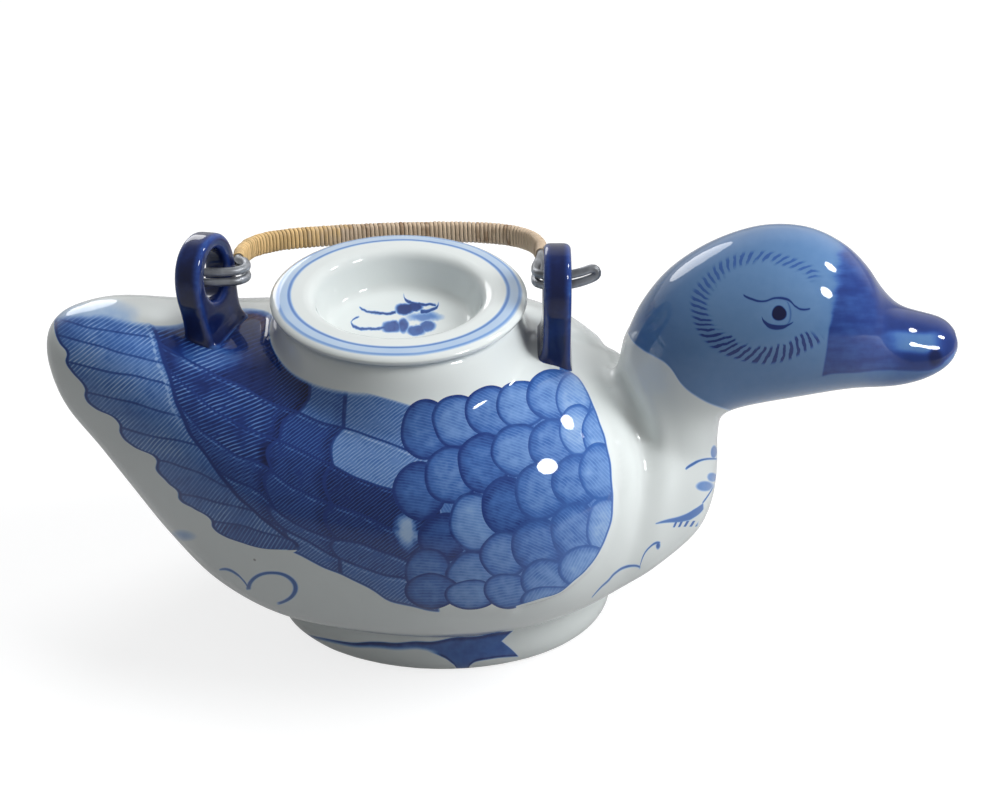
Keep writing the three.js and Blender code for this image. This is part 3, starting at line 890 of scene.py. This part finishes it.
def placed_object(name, data):
    obj = bpy.data.objects.new(name, data)
    bpy.context.scene.collection.objects.link(obj)
    return obj


def mesh_of(name, curve):
    """A curve as a mesh object."""
    only(placed_object(name, curve))
    bpy.ops.object.convert(target="MESH")
    return bpy.context.view_layer.objects.active


def points_of(obj, key="co"):
    """The places of an object's points, or their normals."""
    numbers = np.empty(len(obj.data.vertices) * 3)
    obj.data.vertices.foreach_get(key, numbers)
    return numbers.reshape(-1, 3)


def move_points(obj, co):
    obj.data.vertices.foreach_set("co", np.asarray(co, float).ravel())
    obj.data.update()


def apply_modifier(obj, kind, **settings):
    """Adds a modifier with its settings and applies it."""
    only(obj)
    modifier = obj.modifiers.new(kind.lower(), kind)
    for key, value in settings.items():
        setattr(modifier, key, value)
    bpy.ops.object.modifier_apply(modifier=modifier.name)


def joined(name, objects):
    """Several objects as one."""
    only(objects[0])
    for obj in objects[1:]:
        obj.select_set(True)
    bpy.ops.object.join()
    whole = bpy.context.view_layer.objects.active
    whole.name = whole.data.name = name
    return whole


def faces_outwards(obj, merge=True):
    """Turns all faces outwards, and before that merges points that coincide where merge is true."""
    only(obj)
    bpy.ops.object.mode_set(mode="EDIT")
    bpy.ops.mesh.select_all(action="SELECT")
    if merge:
        bpy.ops.mesh.remove_doubles(threshold=0.005 * MM)
    bpy.ops.mesh.normals_make_consistent(inside=False)
    bpy.ops.object.mode_set(mode="OBJECT")
    return obj


def station(rows, t, before, after):
    """Catmull-Rom values of the rows at places t."""
    padded = np.vstack([before, rows, after]).astype(float)
    index = np.clip(np.floor(t).astype(int), 0, len(rows) - 2)
    f = (t - index)[:, None]
    a, b, c, d = (padded[index + k] for k in range(4))
    return 0.5 * (2 * b + (c - a) * f + (2 * a - 5 * b + 4 * c - d) * f**2 + (3 * b - a - 3 * c + d) * f**3)


def round_form(name, segments, rings):
    """A ball to be drawn out along its axis, with each point's share of the way along and its angle."""
    bpy.ops.mesh.primitive_uv_sphere_add(segments=segments, ring_count=rings, radius=1)
    obj = bpy.context.view_layer.objects.active
    obj.name = obj.data.name = name
    co = points_of(obj)
    return obj, np.arccos(np.clip(co[:, 2], -1, 1)) / math.pi, np.arctan2(co[:, 1], co[:, 0])


def power(value, exponent):
    return np.sign(value) * np.abs(value) ** exponent


def duck_body(name, grow, segments=128, rings=150):
    """The body, moved outwards by grow, in millimetres."""
    obj, share, angle = round_form(name, segments, rings)
    rows = np.array(BODY, float)
    mirror = lambda r: (r[0], r[2], r[1], -r[3], r[4])
    x, top, bottom, wide, middle = station(rows, share * (len(rows) - 1), mirror(rows[1]), mirror(rows[-2])).T
    ends = np.minimum(1, np.minimum(share, 1 - share) * 24)
    spread = grow * ends
    side = power(np.cos(angle), 2 / BODY_SQUARENESS)
    rise = power(np.sin(angle), 2 / BODY_SQUARENESS)
    high = np.where(rise > 0, top - middle, middle - bottom) + spread
    along = (x - rows[0][0]) / (rows[-1][0] - rows[0][0])
    place = [
        x + grow * (2 * along - 1),
        np.maximum(wide + spread, 0) * side,
        middle + np.maximum(high, 0) * rise,
    ]
    move_points(obj, np.stack(place, 1) * MM)
    return faces_outwards(obj)


def neck_and_head(name, stations, grow, segments=96, rings=170):
    """The neck, head and bill through stations, moved outwards by grow, in millimetres."""
    obj, share, angle = round_form(name, segments, rings)
    rows = np.array(stations, float)
    last = rows[-2]
    after = (last[2], last[3], last[0], last[1], -last[4])
    front_x, front_z, back_x, back_z, wide = station(rows, share * (len(rows) - 1), rows[0], after).T
    half = np.hypot(back_x - front_x, back_z - front_z) / 2
    safe = np.maximum(half, 1e-6)
    toward_x, toward_z = (back_x - front_x) / (2 * safe), (back_z - front_z) / (2 * safe)
    ends = np.minimum(1, (1 - share) * 30)
    rise = np.maximum(half + grow * ends, 0) * np.sin(angle)
    place = [
        (front_x + back_x) / 2 + toward_x * rise,
        np.maximum(wide + grow * ends, 0) * np.cos(angle),
        (front_z + back_z) / 2 + toward_z * rise,
    ]
    move_points(obj, np.stack(place, 1) * MM)
    return faces_outwards(obj)


def turned(name, profile, x, segments, squash=1.0):
    """A profile of radius and height in millimetres, spun about a vertical axis through x."""
    mesh = bpy.data.meshes.new(name)
    edges = [(k, k + 1) for k in range(len(profile) - 1)]
    mesh.from_pydata([(r * MM, 0, z * MM) for r, z in profile], edges, [])
    obj = placed_object(name, mesh)
    steps = {"steps": segments, "render_steps": segments}
    apply_modifier(obj, "SCREW", use_merge_vertices=True, merge_threshold=0.001 * MM, **steps)
    co = points_of(obj)
    co[:, 1] *= squash
    co[:, 0] += x * MM
    move_points(obj, co)
    return faces_outwards(obj)


def through(points, per_span):
    """A smooth line through points, in so many steps from each to the next."""
    rows = np.array(points, float)
    t = np.linspace(0, len(rows) - 1, (len(rows) - 1) * per_span + 1)
    return station(rows, t, 2 * rows[0] - rows[1], 2 * rows[-1] - rows[-2])


def lengths_along(line):
    """How far along a line each of its points lies."""
    return np.concatenate([[0], np.cumsum(np.linalg.norm(np.diff(line, axis=0), axis=1))])


def photo_place(points):
    """Where points in metres lie in the photograph."""
    x = points[:, 0] - VIEW_TARGET.x
    y = points[:, 1]
    z = points[:, 2] - VIEW_TARGET.z
    sine, cosine = math.sin(VIEW_PITCH), math.cos(VIEW_PITCH)
    depth = VIEW_DISTANCE + y * cosine - z * sine
    u = IMAGE_WIDTH / 2 + VIEW_FOCUS * x / depth
    v = IMAGE_HEIGHT / 2 - VIEW_FOCUS * (y * sine + z * cosine) / depth
    return u, v


def place_numbers(co):
    """One whole number for each point in metres, the same only for the same place."""
    return np.round(co * 1e6).astype(np.int64) @ np.array([1, 10**6, 10**12])


def lay_out_painting(obj, outer_places):
    """Gives each point its place in the near and the far side's painting, and how squarely it faces them.

    The far side's plumage starts lower down, where the near side's white ridge is out of the way. Points that
    weren't on the outer skin before it was hollowed are marked as inside, where nothing is painted.
    """
    co = points_of(obj)
    inside = ~np.isin(place_numbers(co), outer_places)
    normals = points_of(obj, "normal")
    sine, cosine = math.sin(VIEW_PITCH), math.cos(VIEW_PITCH)
    for name, flip in (("near_paint", 1), ("far_paint", -1)):
        u, v = photo_place(co * [1, flip, 1])
        seen = -normals[:, 1] * flip * cosine + normals[:, 2] * sine
        if flip < 0:
            lower = np.clip(34 - (v - 372) * 0.12, 0, 38)
            v = v - lower * smooth_step((620 - u) / 40)
        seen[inside] = INSIDE
        attribute = obj.data.attributes.new(name, "FLOAT_VECTOR", "POINT")
        values = np.stack([u / PER_PAINT, v / PER_PAINT, seen], 1)
        attribute.data.foreach_set("vector", values.astype(np.float32).ravel())


def smooth_step(amount):
    held = np.clip(amount, 0, 1)
    return held**2 * (3 - 2 * held)


def along_line(u, v, points):
    """How far places in the photograph are from a line, and how far along it they lie, from 0 to 1."""
    line = np.array(points, float)
    length = lengths_along(line)
    nearest = np.full(len(u), np.inf)
    share = np.zeros(len(u))
    for k in range(len(line) - 1):
        step = line[k + 1] - line[k]
        t = np.clip(((u - line[k, 0]) * step[0] + (v - line[k, 1]) * step[1]) / (step @ step), 0, 1)
        away = np.hypot(u - line[k, 0] - t * step[0], v - line[k, 1] - t * step[1])
        closer = away < nearest
        nearest[closer] = away[closer]
        share[closer] = (length[k] + t * (length[k + 1] - length[k]))[closer] / length[-1]
    return nearest, share


# The valley between the shoulder and the neck, in pixels of the photograph.
GROOVE = [
    (604, 350), (606, 366), (618, 384), (626, 400), (636, 420), (643, 440), (647, 470), (645, 500),
    (637, 540), (622, 575), (600, 600),
]


def relief(obj, wing_height, groove_depth):
    """Lifts the fore-wing with a soft step at its edges, and sinks the valley between shoulder and neck."""
    co = points_of(obj)
    normals = points_of(obj, "normal")
    u, v = photo_place(np.stack([co[:, 0], -np.abs(co[:, 1]), co[:, 2]], 1))
    front = np.interp(v, *zip(*WING_FRONT)) - u
    foot = np.interp(u, *zip(*WING_FOOT)) - v
    outward = np.abs(normals[:, 1])
    facing = smooth_step((outward * 0.85 + normals[:, 2] * 0.5) * 4)
    lift = smooth_step((front + 7) / 15) * smooth_step((foot + 8) / 18) * facing
    lift *= smooth_step((u - 250) / 250) * smooth_step((v - 345) / 40)
    away, share = along_line(u, v, GROOVE)
    deep = np.exp(-((away / 9) ** 2)) - 0.35 * np.exp(-(((away - 20) / 9) ** 2))
    depth = np.interp(share, [0, 0.08, 0.2, 0.45, 0.8, 1], [0, 0.6, 1, 0.9, 0.35, 0])
    sink = deep * depth * smooth_step(outward * 3)
    move_points(obj, co + normals * (lift * wing_height - sink * groove_depth)[:, None])


def finish(obj, body, material, nodes, sharp):
    """Gives a piece its material and its place in the frame, and shades it smooth below sharp, in degrees."""
    only(obj)
    bpy.ops.object.shade_smooth_by_angle(angle=math.radians(sharp))
    obj.data.materials.clear()
    obj.data.materials.append(material)
    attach(obj, body)
    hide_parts(*nodes)


class TEAPOT_OT_pot(bpy.types.Operator):
    """Model the hollow pot: body, neck, head, bill, collar and foot, luted and glazed as one"""

    bl_idname = "teapot.pot"
    bl_label = "Pot"

    def execute(self, context):
        sizes = context.scene.teapot_pot
        foot = [
            (0, 0), (FOOT_LONG - 0.9, 0), (FOOT_LONG - 0.1, 0.5), (FOOT_LONG + 0.6, 2), (FOOT_LONG + 1.8, 5),
            (FOOT_LONG + 2, 8), (FOOT_LONG + 1, 11), (FOOT_LONG - 6, 17), (0, 17),
        ]
        collar = [
            (0, 70), (38.5, 70), (38.5, 83), (36.6, 86.5), (35, 90.6), (34, 95), (33.2, COLLAR_TOP - 0.6),
            (32.2, COLLAR_TOP), (0, COLLAR_TOP),
        ]
        skin = joined("glazed_pot", [
            duck_body("body", 0),
            neck_and_head("neck", NECK, 0),
            turned("foot", foot, FOOT_X, ROUND, FOOT_WIDE / FOOT_LONG),
            turned("collar", collar, MOUTH_X, ROUND),
        ])
        apply_modifier(skin, "REMESH", mode="VOXEL", voxel_size=sizes.grain, use_smooth_shade=True)
        apply_modifier(skin, "SMOOTH", factor=0.5, iterations=14)
        relief(skin, sizes.wing_relief, sizes.groove)
        outer_places = place_numbers(points_of(skin))
        mouth = [
            (0, 75), (MOUTH_RADIUS, 75), (MOUTH_RADIUS, COLLAR_TOP - 1.2),
            (MOUTH_RADIUS + 0.3, COLLAR_TOP - 0.5), (MOUTH_RADIUS + 1.4, COLLAR_TOP + 0.6),
            (MOUTH_RADIUS + 1.4, COLLAR_TOP + 20), (0, COLLAR_TOP + 20),
        ]
        bpy.ops.mesh.primitive_cone_add(
            vertices=48, radius1=(SPOUT_RADIUS + SPOUT_FLARE) * MM, radius2=SPOUT_RADIUS * MM,
            depth=SPOUT_CUT.length * MM, location=(SPOUT_CUT.x * MM, 0, SPOUT_CUT.z * MM),
            rotation=(0, math.pi / 2, 0),
        )
        spout = context.view_layer.objects.active
        bpy.ops.object.transform_apply(location=True, rotation=True, scale=True)
        hollow = [
            duck_body("belly_hollow", -sizes.wall / MM, 48, 56),
            neck_and_head("throat_hollow", THROAT, -sizes.neck_wall / MM, 40, 60),
            turned("mouth_bore", mouth, MOUTH_X, BORE_ROUND),
            spout,
        ]
        inside = FOOT_LONG - FOOT_RING
        recess = [
            (0, -2), (inside, -2), (inside, 0), (inside - 0.5, 1.6), (inside - 1.6, FOOT_RECESS),
            (0, FOOT_RECESS),
        ]
        squash = (FOOT_WIDE - FOOT_RING) / inside
        hollow.append(turned("foot_recess", recess, FOOT_X, BORE_ROUND, squash))
        for cutter in hollow:
            apply_modifier(skin, "BOOLEAN", operation="DIFFERENCE", object=cutter, solver="EXACT")
            bpy.data.objects.remove(cutter)
        lay_out_painting(skin, outer_places)
        finish(
            skin, "pot", pot_paint(context.scene.teapot_glaze),
            ["duck_body", "neck_and_head", "filling_collar"], 40,
        )
        return {"FINISHED"}


def back_height(x, y):
    """How high the duck's back is above points of the table, in millimetres."""
    rows = np.array(BODY, float)
    t = np.linspace(0, len(rows) - 1, 600)
    line = station(rows, t, rows[0], rows[-1])
    top, wide, middle = (np.interp(x, line[:, 0], line[:, k]) for k in (1, 3, 4))
    share = np.clip(np.abs(y) / wide, 0, 1) ** BODY_SQUARENESS
    return middle + (top - middle) * (1 - share) ** (1 / BODY_SQUARENESS)


def spun(across, up, angle):
    """Two coordinates turned by an angle from the first towards the second."""
    sine, cosine = math.sin(angle), math.cos(angle)
    return across * cosine - up * sine, across * sine + up * cosine


# The lug's outline in millimetres from its hole: each point, and the handles before and after it.
LUG_OUTLINE = [
    ((-12.5, -34), (-12.5, -34), (-9.5, -24)),
    ((-11.6, -3), (-9.6, -12), (-12.6, 6.4)),
    ((0, 11.8), (-7.6, 11.8), (7.6, 11.8)),
    ((11.6, -3), (12.6, 6.4), (9.6, -12)),
    ((12.5, -34), (9.5, -24), (12.5, -34)),
]
ROUND_HANDLE = 0.5523  # a handle's length that makes a quarter circle of radius 1
LUG_FLARE = 0.5  # how far the lug's foot spreads all round, in millimetres
LUG_FLARE_TO_LID = 1.6  # and towards the lid besides
LUG_FLARE_HEIGHT = 1.6


def lug(name, place, grain):
    """A flat ring with a flared foot, cut from a soft slab, standing across the hinge axis."""
    curve = bpy.data.curves.new(name, "CURVE")
    curve.dimensions = "2D"
    curve.fill_mode = "BOTH"
    round_edge = LUG_EDGE * MM
    curve.extrude = LUG_THICK * MM / 2 - round_edge
    curve.bevel_depth = round_edge
    curve.bevel_resolution = 5
    curve.offset = -round_edge
    curve.resolution_u = 16
    wide, high, up = LUG_HOLE.half_width, LUG_HOLE.half_height, LUG_HOLE.up
    arm, rise = wide * ROUND_HANDLE, high * ROUND_HANDLE
    hole = [
        ((0, up + high), (-arm, up + high), (arm, up + high)),
        ((wide, up), (wide, up + rise), (wide, up - rise)),
        ((0, up - high), (arm, up - high), (-arm, up - high)),
        ((-wide, up), (-wide, up - rise), (-wide, up + rise)),
    ]
    for outline in (LUG_OUTLINE, hole):
        spline = curve.splines.new("BEZIER")
        spline.bezier_points.add(len(outline) - 1)
        spline.use_cyclic_u = True
        for point, places in zip(spline.bezier_points, outline):
            point.handle_left_type = point.handle_right_type = "FREE"
            for key, (across, along) in zip(("co", "handle_left", "handle_right"), places):
                setattr(point, key, (across * MM, along * MM, 0))
    obj = mesh_of(name, curve)
    co = points_of(obj)
    move_points(obj, np.stack([co[:, 2], co[:, 0], co[:, 1]], 1))
    faces_outwards(obj)
    apply_modifier(obj, "REMESH", mode="VOXEL", voxel_size=grain, use_smooth_shade=True)
    apply_modifier(obj, "SMOOTH", factor=0.5, iterations=6)
    x, y, z = points_of(obj).T
    x, z = spun(x, z, -place.lean)
    x, y = spun(x, y, place.turn)
    placed = np.stack([x + place.x * MM, y, z + place.hole_z * MM], 1)
    move_points(obj, placed)
    normals = points_of(obj, "normal")
    above = placed[:, 2] / MM - back_height(placed[:, 0] / MM, placed[:, 1] / MM)
    toward_lid = np.maximum(normals[:, 0] * math.copysign(1, MOUTH_X - place.x), 0)
    spread = (LUG_FLARE + LUG_FLARE_TO_LID * toward_lid) * np.exp(-np.maximum(above, 0) / LUG_FLARE_HEIGHT)
    placed[:, :2] += normals[:, :2] * spread[:, None] * MM
    move_points(obj, placed)
    return obj


class TEAPOT_OT_lugs(bpy.types.Operator):
    """Model the two dark blue lugs that carry the bail"""

    bl_idname = "teapot.lugs"
    bl_label = "Lugs"

    def execute(self, context):
        sizes = context.scene.teapot_pot
        material = cobalt_glaze(context.scene.teapot_glaze)
        for name, place in (("rear_lug", REAR_LUG), ("front_lug", FRONT_LUG)):
            obj = lug("glazed_" + name, place, sizes.lug_grain)
            core = duck_body("lug_cutter", -LUG_SINK, 96, 110)
            apply_modifier(obj, "BOOLEAN", operation="DIFFERENCE", object=core, solver="EXACT")
            bpy.data.objects.remove(core)
            finish(obj, "pot", material, [name], 50)
        return {"FINISHED"}


# The lid in section, from the middle of its upper face to the middle of its underside.
LID = [
    (0, 91.8), (8, 91.8), (15, 91.8), (18.2, 92), (19.8, 92.6), (20.8, 93.8), (21.6, 96), (22.3, 98.6),
    (22.9, 100.6), (23.9, 101.9), (25.4, 102.5), (27.2, 102.6), (30, 102.6), (32.6, 102.4), (34, 101.9),
    (34.75, 101.3), (34.9, 100.8), (34.5, 99.9), (33.4, 99.55), (31, 99.5), (29, 99.5), (28.3, 99.2),
    (27.8, 97), (26.8, 94), (25.6, 91.6), (24.4, 89.7), (23, 88.6), (21, 88), (14, 88), (7, 88), (0, 88),
]


class TEAPOT_OT_lid(bpy.types.Operator):
    """Model the loose dished lid"""

    bl_idname = "teapot.lid"
    bl_label = "Lid"

    def execute(self, context):
        obj = turned("glazed_lid", through(LID, 5), MOUTH_X, ROUND)
        lay_out_painting(obj, place_numbers(points_of(obj)))
        finish(obj, "lid", lid_paint(context.scene.teapot_glaze), ["lid"], 50)
        return {"FINISHED"}


# The bail in its own plane: x along the hinge axis, and the distance out from it.
REAR_HOOK = [(-86.8, 0), (-81, 0), (-76, 0.2), (-71.9, 1.3), (-69.8, 4.7), (-70.6, 9.5)]
ARCH = [
    (-73, 16), (-72.8, 24), (-70, 32.4), (-62.3, 38.7), (-48, 43), (-30, 45.8), (-11, 46.4), (1, 43.6),
    (8, 37.2), (10.6, 28.5), (10.6, 20),
]
FRONT_HOOK = [(9.6, 12.5), (8.9, 7.2), (9.3, 2.6), (12, 0.3), (16, 0), (20.5, 0)]
HAIRPIN_TIP = 25.4
HAIRPIN_FROM = 17  # from here to the hairpin's end, the wire rises off the axis
HAIRPIN_RISE = 2.2
HAIRPIN_BEND = 1.1  # length of the rounded end
HAIRPIN_NARROW = 0.9  # the strands' spread where the end begins, as a share
REAR_RISE = 1  # the rear hook lies this far off the axis


def bail_point(x, out, off):
    """A point of the bail, in metres: along the axis, out from it and off the bail's own plane."""
    return Vector((
        x,
        out * math.sin(BAIL_BACK) - off * math.cos(BAIL_BACK),
        HINGE_Z + out * math.cos(BAIL_BACK) + off * math.sin(BAIL_BACK),
    )) * MM


def smooth_line(points, spacing):
    """Evenly spaced points on a smooth line through the points."""
    dense = through(points, 40)
    length = lengths_along(dense)
    even = np.linspace(0, length[-1], int(length[-1] / spacing) + 1)
    return np.stack([np.interp(even, length, column) for column in dense.T], 1)


class TEAPOT_OT_bail_wire(bpy.types.Operator):
    """Model the bail's doubled wire, from the rear hook round the front hairpin and back"""

    bl_idname = "teapot.bail_wire"
    bl_label = "Bail wire"

    def execute(self, context):
        sizes = context.scene.teapot_bail
        free, bound = sizes.spread_free / MM, sizes.spread_bound / MM

        def strand(side):
            line = [bail_point(x, out, side * free + REAR_RISE) for x, out in REAR_HOOK]
            line += [bail_point(x, out, side * bound) for x, out in ARCH]
            for x, out in FRONT_HOOK:
                rise = HAIRPIN_RISE * max(0, (x - HAIRPIN_FROM) / (HAIRPIN_TIP - HAIRPIN_FROM))
                line.append(bail_point(x, out, side * free + rise))
            return line

        tip = [
            bail_point(HAIRPIN_TIP - abs(side) * HAIRPIN_BEND, 0, side * free * HAIRPIN_NARROW + HAIRPIN_RISE)
            for side in (1, 0, -1)
        ]
        path = smooth_line([*strand(1), *tip, *strand(-1)[::-1]], 0.6 * MM)
        curve = bpy.data.curves.new("bent_wire", "CURVE")
        curve.dimensions = "3D"
        curve.bevel_depth = sizes.wire / 2
        curve.bevel_resolution = 4
        curve.use_fill_caps = True
        spline = curve.splines.new("POLY")
        spline.points.add(len(path) - 1)
        spline.points.foreach_set("co", np.hstack([path, np.ones((len(path), 1))]).ravel())
        obj = faces_outwards(mesh_of("bent_wire", curve))
        finish(obj, "bail", steel_wire(sizes), ["bail_wire"], 50)
        return {"FINISHED"}


# The cane strip: its section as shares of width and thickness, and how it is wound.
CANE_SECTION = [(-0.5, 0), (-0.5, 0.45), (-0.34, 0.86), (0, 1), (0.34, 0.86), (0.5, 0.45), (0.5, 0)]
CANE_STEPS = 28  # sections in one turn
CANE_GAP = 0.08  # between wire and cane, in millimetres
CANE_TURN_LENGTH = 14  # length of strip in one turn, in millimetres, for the fibres
CANE_WIDTHS = (0.9, 0.08)  # the narrowest share of a turn's pitch, and how much wider it can be
CANE_HEIGHTS = (0.82, 0.36)  # the same for shares of the thickness
CANE_SEED = 11


class TEAPOT_OT_cane_binding(bpy.types.Operator):
    """Wind one strip of split cane round both strands of the bail"""

    bl_idname = "teapot.cane_binding"
    bl_label = "Cane binding"

    def execute(self, context):
        sizes = context.scene.teapot_bail
        rng = random.Random(CANE_SEED)
        centre = smooth_line(ARCH, 0.1)
        length = lengths_along(centre)
        tangent = np.gradient(centre, length, axis=0)
        pitch = length[-1] / (sizes.turns + 1)
        half = sizes.spread_bound / MM
        lowest = sizes.wire / MM / 2 + CANE_GAP
        thick = sizes.cane_thick / MM
        widths, heights = (
            [least + rng.random() * more for _ in range(sizes.turns + 2)]
            for least, more in (CANE_WIDTHS, CANE_HEIGHTS)
        )
        points, strip = [], []
        count = sizes.turns * CANE_STEPS
        for k in range(count + 1):
            turn = k / CANE_STEPS
            angle = 2 * math.pi * turn
            width = pitch * np.interp(turn, range(len(widths)), widths)
            height = thick * np.interp(turn, range(len(heights)), heights)
            for across, up in CANE_SECTION:
                at = min(max(pitch * (turn + 0.5) + across * width, 0), length[-1])
                x, out = (np.interp(at, length, centre[:, c]) for c in range(2))
                lean_x, lean_out = (np.interp(at, length, tangent[:, c]) for c in range(2))
                radius = lowest + up * height
                sideways = radius * math.cos(angle)
                off = radius * math.sin(angle) + half * max(-1, min(1, math.sin(angle) * 2.2))
                points.append(bail_point(x - lean_out * sideways, out + lean_x * sideways, off))
                strip.append((turn * CANE_TURN_LENGTH, across + 0.5, turn))
        n = len(CANE_SECTION)
        faces = [
            (r * n + c, r * n + (c + 1) % n, (r + 1) * n + (c + 1) % n, (r + 1) * n + c)
            for r in range(count) for c in range(n)
        ]
        faces += [tuple(range(n)), tuple(range(count * n, count * n + n))[::-1]]
        mesh = bpy.data.meshes.new("cane_wrap")
        mesh.from_pydata(points, [], faces)
        attribute = mesh.attributes.new("strip", "FLOAT_VECTOR", "POINT")
        attribute.data.foreach_set("vector", np.array(strip, np.float32).ravel())
        obj = faces_outwards(placed_object("cane_wrap", mesh), merge=False)
        finish(obj, "bail", split_cane(sizes), ["cane_binding"], 60)
        return {"FINISHED"}


# The lamps: name, place and target in metres, diameter, watts, and whether glazes mirror it.
LAMPS = [
    ("key", (0.62, -0.14, 0.64), (0, 0, 0.06), 0.45, 5.0, False),
    ("front", (0.75, -0.16, 0.12), (0.05, 0, 0.03), 0.4, 2.1, False),
    ("top", (0, 0.32, 0.85), (0, 0, 0.06), 0.5, 3.0, False),
    ("back_window", (-0.45, 0.98, 0.45), (0, 0, 0.06), 0.5, 2.2, True),
    ("window", (0.57, -0.32, 0.59), (0.02, -0.03, 0.08), 0.17, 2.2, True),
    ("skylight", (0.6, 0.18, 0.63), (0.05, 0, 0.1), 0.14, 1.4, True),
]
FLOOR_SIZE = 6  # metres
FLOOR_GAP = 0.2 * MM  # the floor lies this far under the pot, so that the two don't share a face
FLOOR_GLOW = 0.78
FLOOR_IN_GLOSS = 0.3
WORLD_LIGHT = 0.255  # even light from all round
WORLD_IN_GLOSS = 0.14
WALL_BEHIND = 0.6


class TEAPOT_OT_stage(bpy.types.Operator):
    """Set the pale floor, the white surroundings, the lamps and the photograph's camera"""

    bl_idname = "teapot.stage"
    bl_label = "Stage"

    def execute(self, context):
        scene = context.scene
        bpy.ops.mesh.primitive_plane_add(size=FLOOR_SIZE, location=(0, 0, -FLOOR_GAP))
        floor = context.view_layer.objects.active
        floor.name = "floor"
        floor.data.materials.append(floor_material(scene.teapot_stage))
        world_light(scene)
        for settings in LAMPS:
            lamp(*settings)
        camera = placed_object("camera", bpy.data.cameras.new("camera"))
        back = Vector((0, -math.cos(VIEW_PITCH), math.sin(VIEW_PITCH)))
        camera.location = VIEW_TARGET + back * VIEW_DISTANCE
        camera.rotation_euler = (-back).to_track_quat("-Z", "Y").to_euler()
        camera.data.sensor_width = SENSOR
        camera.data.lens = VIEW_FOCUS * SENSOR / IMAGE_WIDTH
        scene.camera = camera
        scene.view_settings.view_transform = "Standard"
        return {"FINISHED"}


def backdrop(tree, off_gloss):
    """How white the surroundings look: to the camera and through glass fully, and off gloss as given."""
    path = new_node(tree, "LightPath")
    camera, glossy, through = (
        Amount(tree, path.outputs[f"Is {kind} Ray"]) for kind in ("Camera", "Glossy", "Transmission")
    )
    return camera.most(through).most(glossy * off_gloss)


def floor_material(sizes):
    """A pale table that shows white to the camera and keeps a soft shadow."""
    settings = {"Roughness": 0.8, "Specular IOR Level": 0.1, "Emission Color": (1, 1, 1, 1)}
    material, tree, sockets = new_material("pale_table", settings)
    mottle = noise(tree, object_place(tree), 9, 2)
    pale = plain(sizes.floor)
    colour = mixed(tree, pale, [c * 0.99 for c in pale[:3]] + [1], mottle)
    tree.links.new(colour, sockets["Base Color"])
    plug(tree, sockets["Emission Strength"], backdrop(tree, FLOOR_IN_GLOSS) * FLOOR_GLOW)
    return material


def world_light(scene):
    """White to the camera, a white wall behind in reflections, and an even pale grey as light."""
    world = bpy.data.worlds.new("studio")
    world.use_nodes = True
    scene.world = world
    tree = world.node_tree
    background = tree.nodes["Background"]
    background.inputs["Color"].default_value = (1, 1, 1, 1)
    place = new_node(tree, "TexCoord").outputs["Generated"]
    behind = parts_of(tree, place)[1].rise(0.35, 0.85)
    white = backdrop(tree, behind * WALL_BEHIND + WORLD_IN_GLOSS)
    plug(tree, background.inputs["Strength"], white.most(WORLD_LIGHT))


def lamp(name, place, target, size, power_watts, mirrored):
    """A round soft lamp, which either lights the scene or, where mirrored is true, is only seen in glazes."""
    data = bpy.data.lights.new(name, "AREA")
    data.shape = "DISK"
    data.size = size
    data.energy = power_watts
    obj = placed_object(name, data)
    obj.location = place
    obj.rotation_euler = (Vector(target) - Vector(place)).to_track_quat("-Z", "Y").to_euler()
    obj.visible_glossy = mirrored
    obj.visible_diffuse = not mirrored


OPERATORS = (
    TEAPOT_OT_stage,
    TEAPOT_OT_pot,
    TEAPOT_OT_lugs,
    TEAPOT_OT_lid,
    TEAPOT_OT_bail_wire,
    TEAPOT_OT_cane_binding,
)


class TEAPOT_PT_panel(bpy.types.Panel):
    bl_label = "Duck Teapot"
    bl_idname = "TEAPOT_PT_panel"
    bl_space_type = "VIEW_3D"
    bl_region_type = "UI"
    bl_category = "Teapot"

    def draw(self, context):
        for operator in OPERATORS:
            self.layout.operator(operator.bl_idname)
        for group in GROUPS:
            sizes = getattr(context.scene, group)
            for key in sizes.bl_rna.properties.keys():
                if key not in ("rna_type", "name"):
                    self.layout.prop(sizes, key)


GROUPS = {
    "teapot_pot": PotSizes,
    "teapot_glaze": GlazeColours,
    "teapot_bail": BailSizes,
    "teapot_stage": StageSizes,
}


def register():
    for group in (*GROUPS.values(), *OPERATORS, TEAPOT_PT_panel):
        bpy.utils.register_class(group)
    for name, group in GROUPS.items():
        setattr(bpy.types.Scene, name, bpy.props.PointerProperty(type=group))


def unregister():
    for name in GROUPS:
        delattr(bpy.types.Scene, name)
    for group in (TEAPOT_PT_panel, *reversed(OPERATORS), *GROUPS.values()):
        bpy.utils.unregister_class(group)


def main():
    register()
    for operator in OPERATORS:
        family, name = operator.bl_idname.split(".")
        getattr(getattr(bpy.ops, family), name)()


if __name__ == "__main__":
    main()
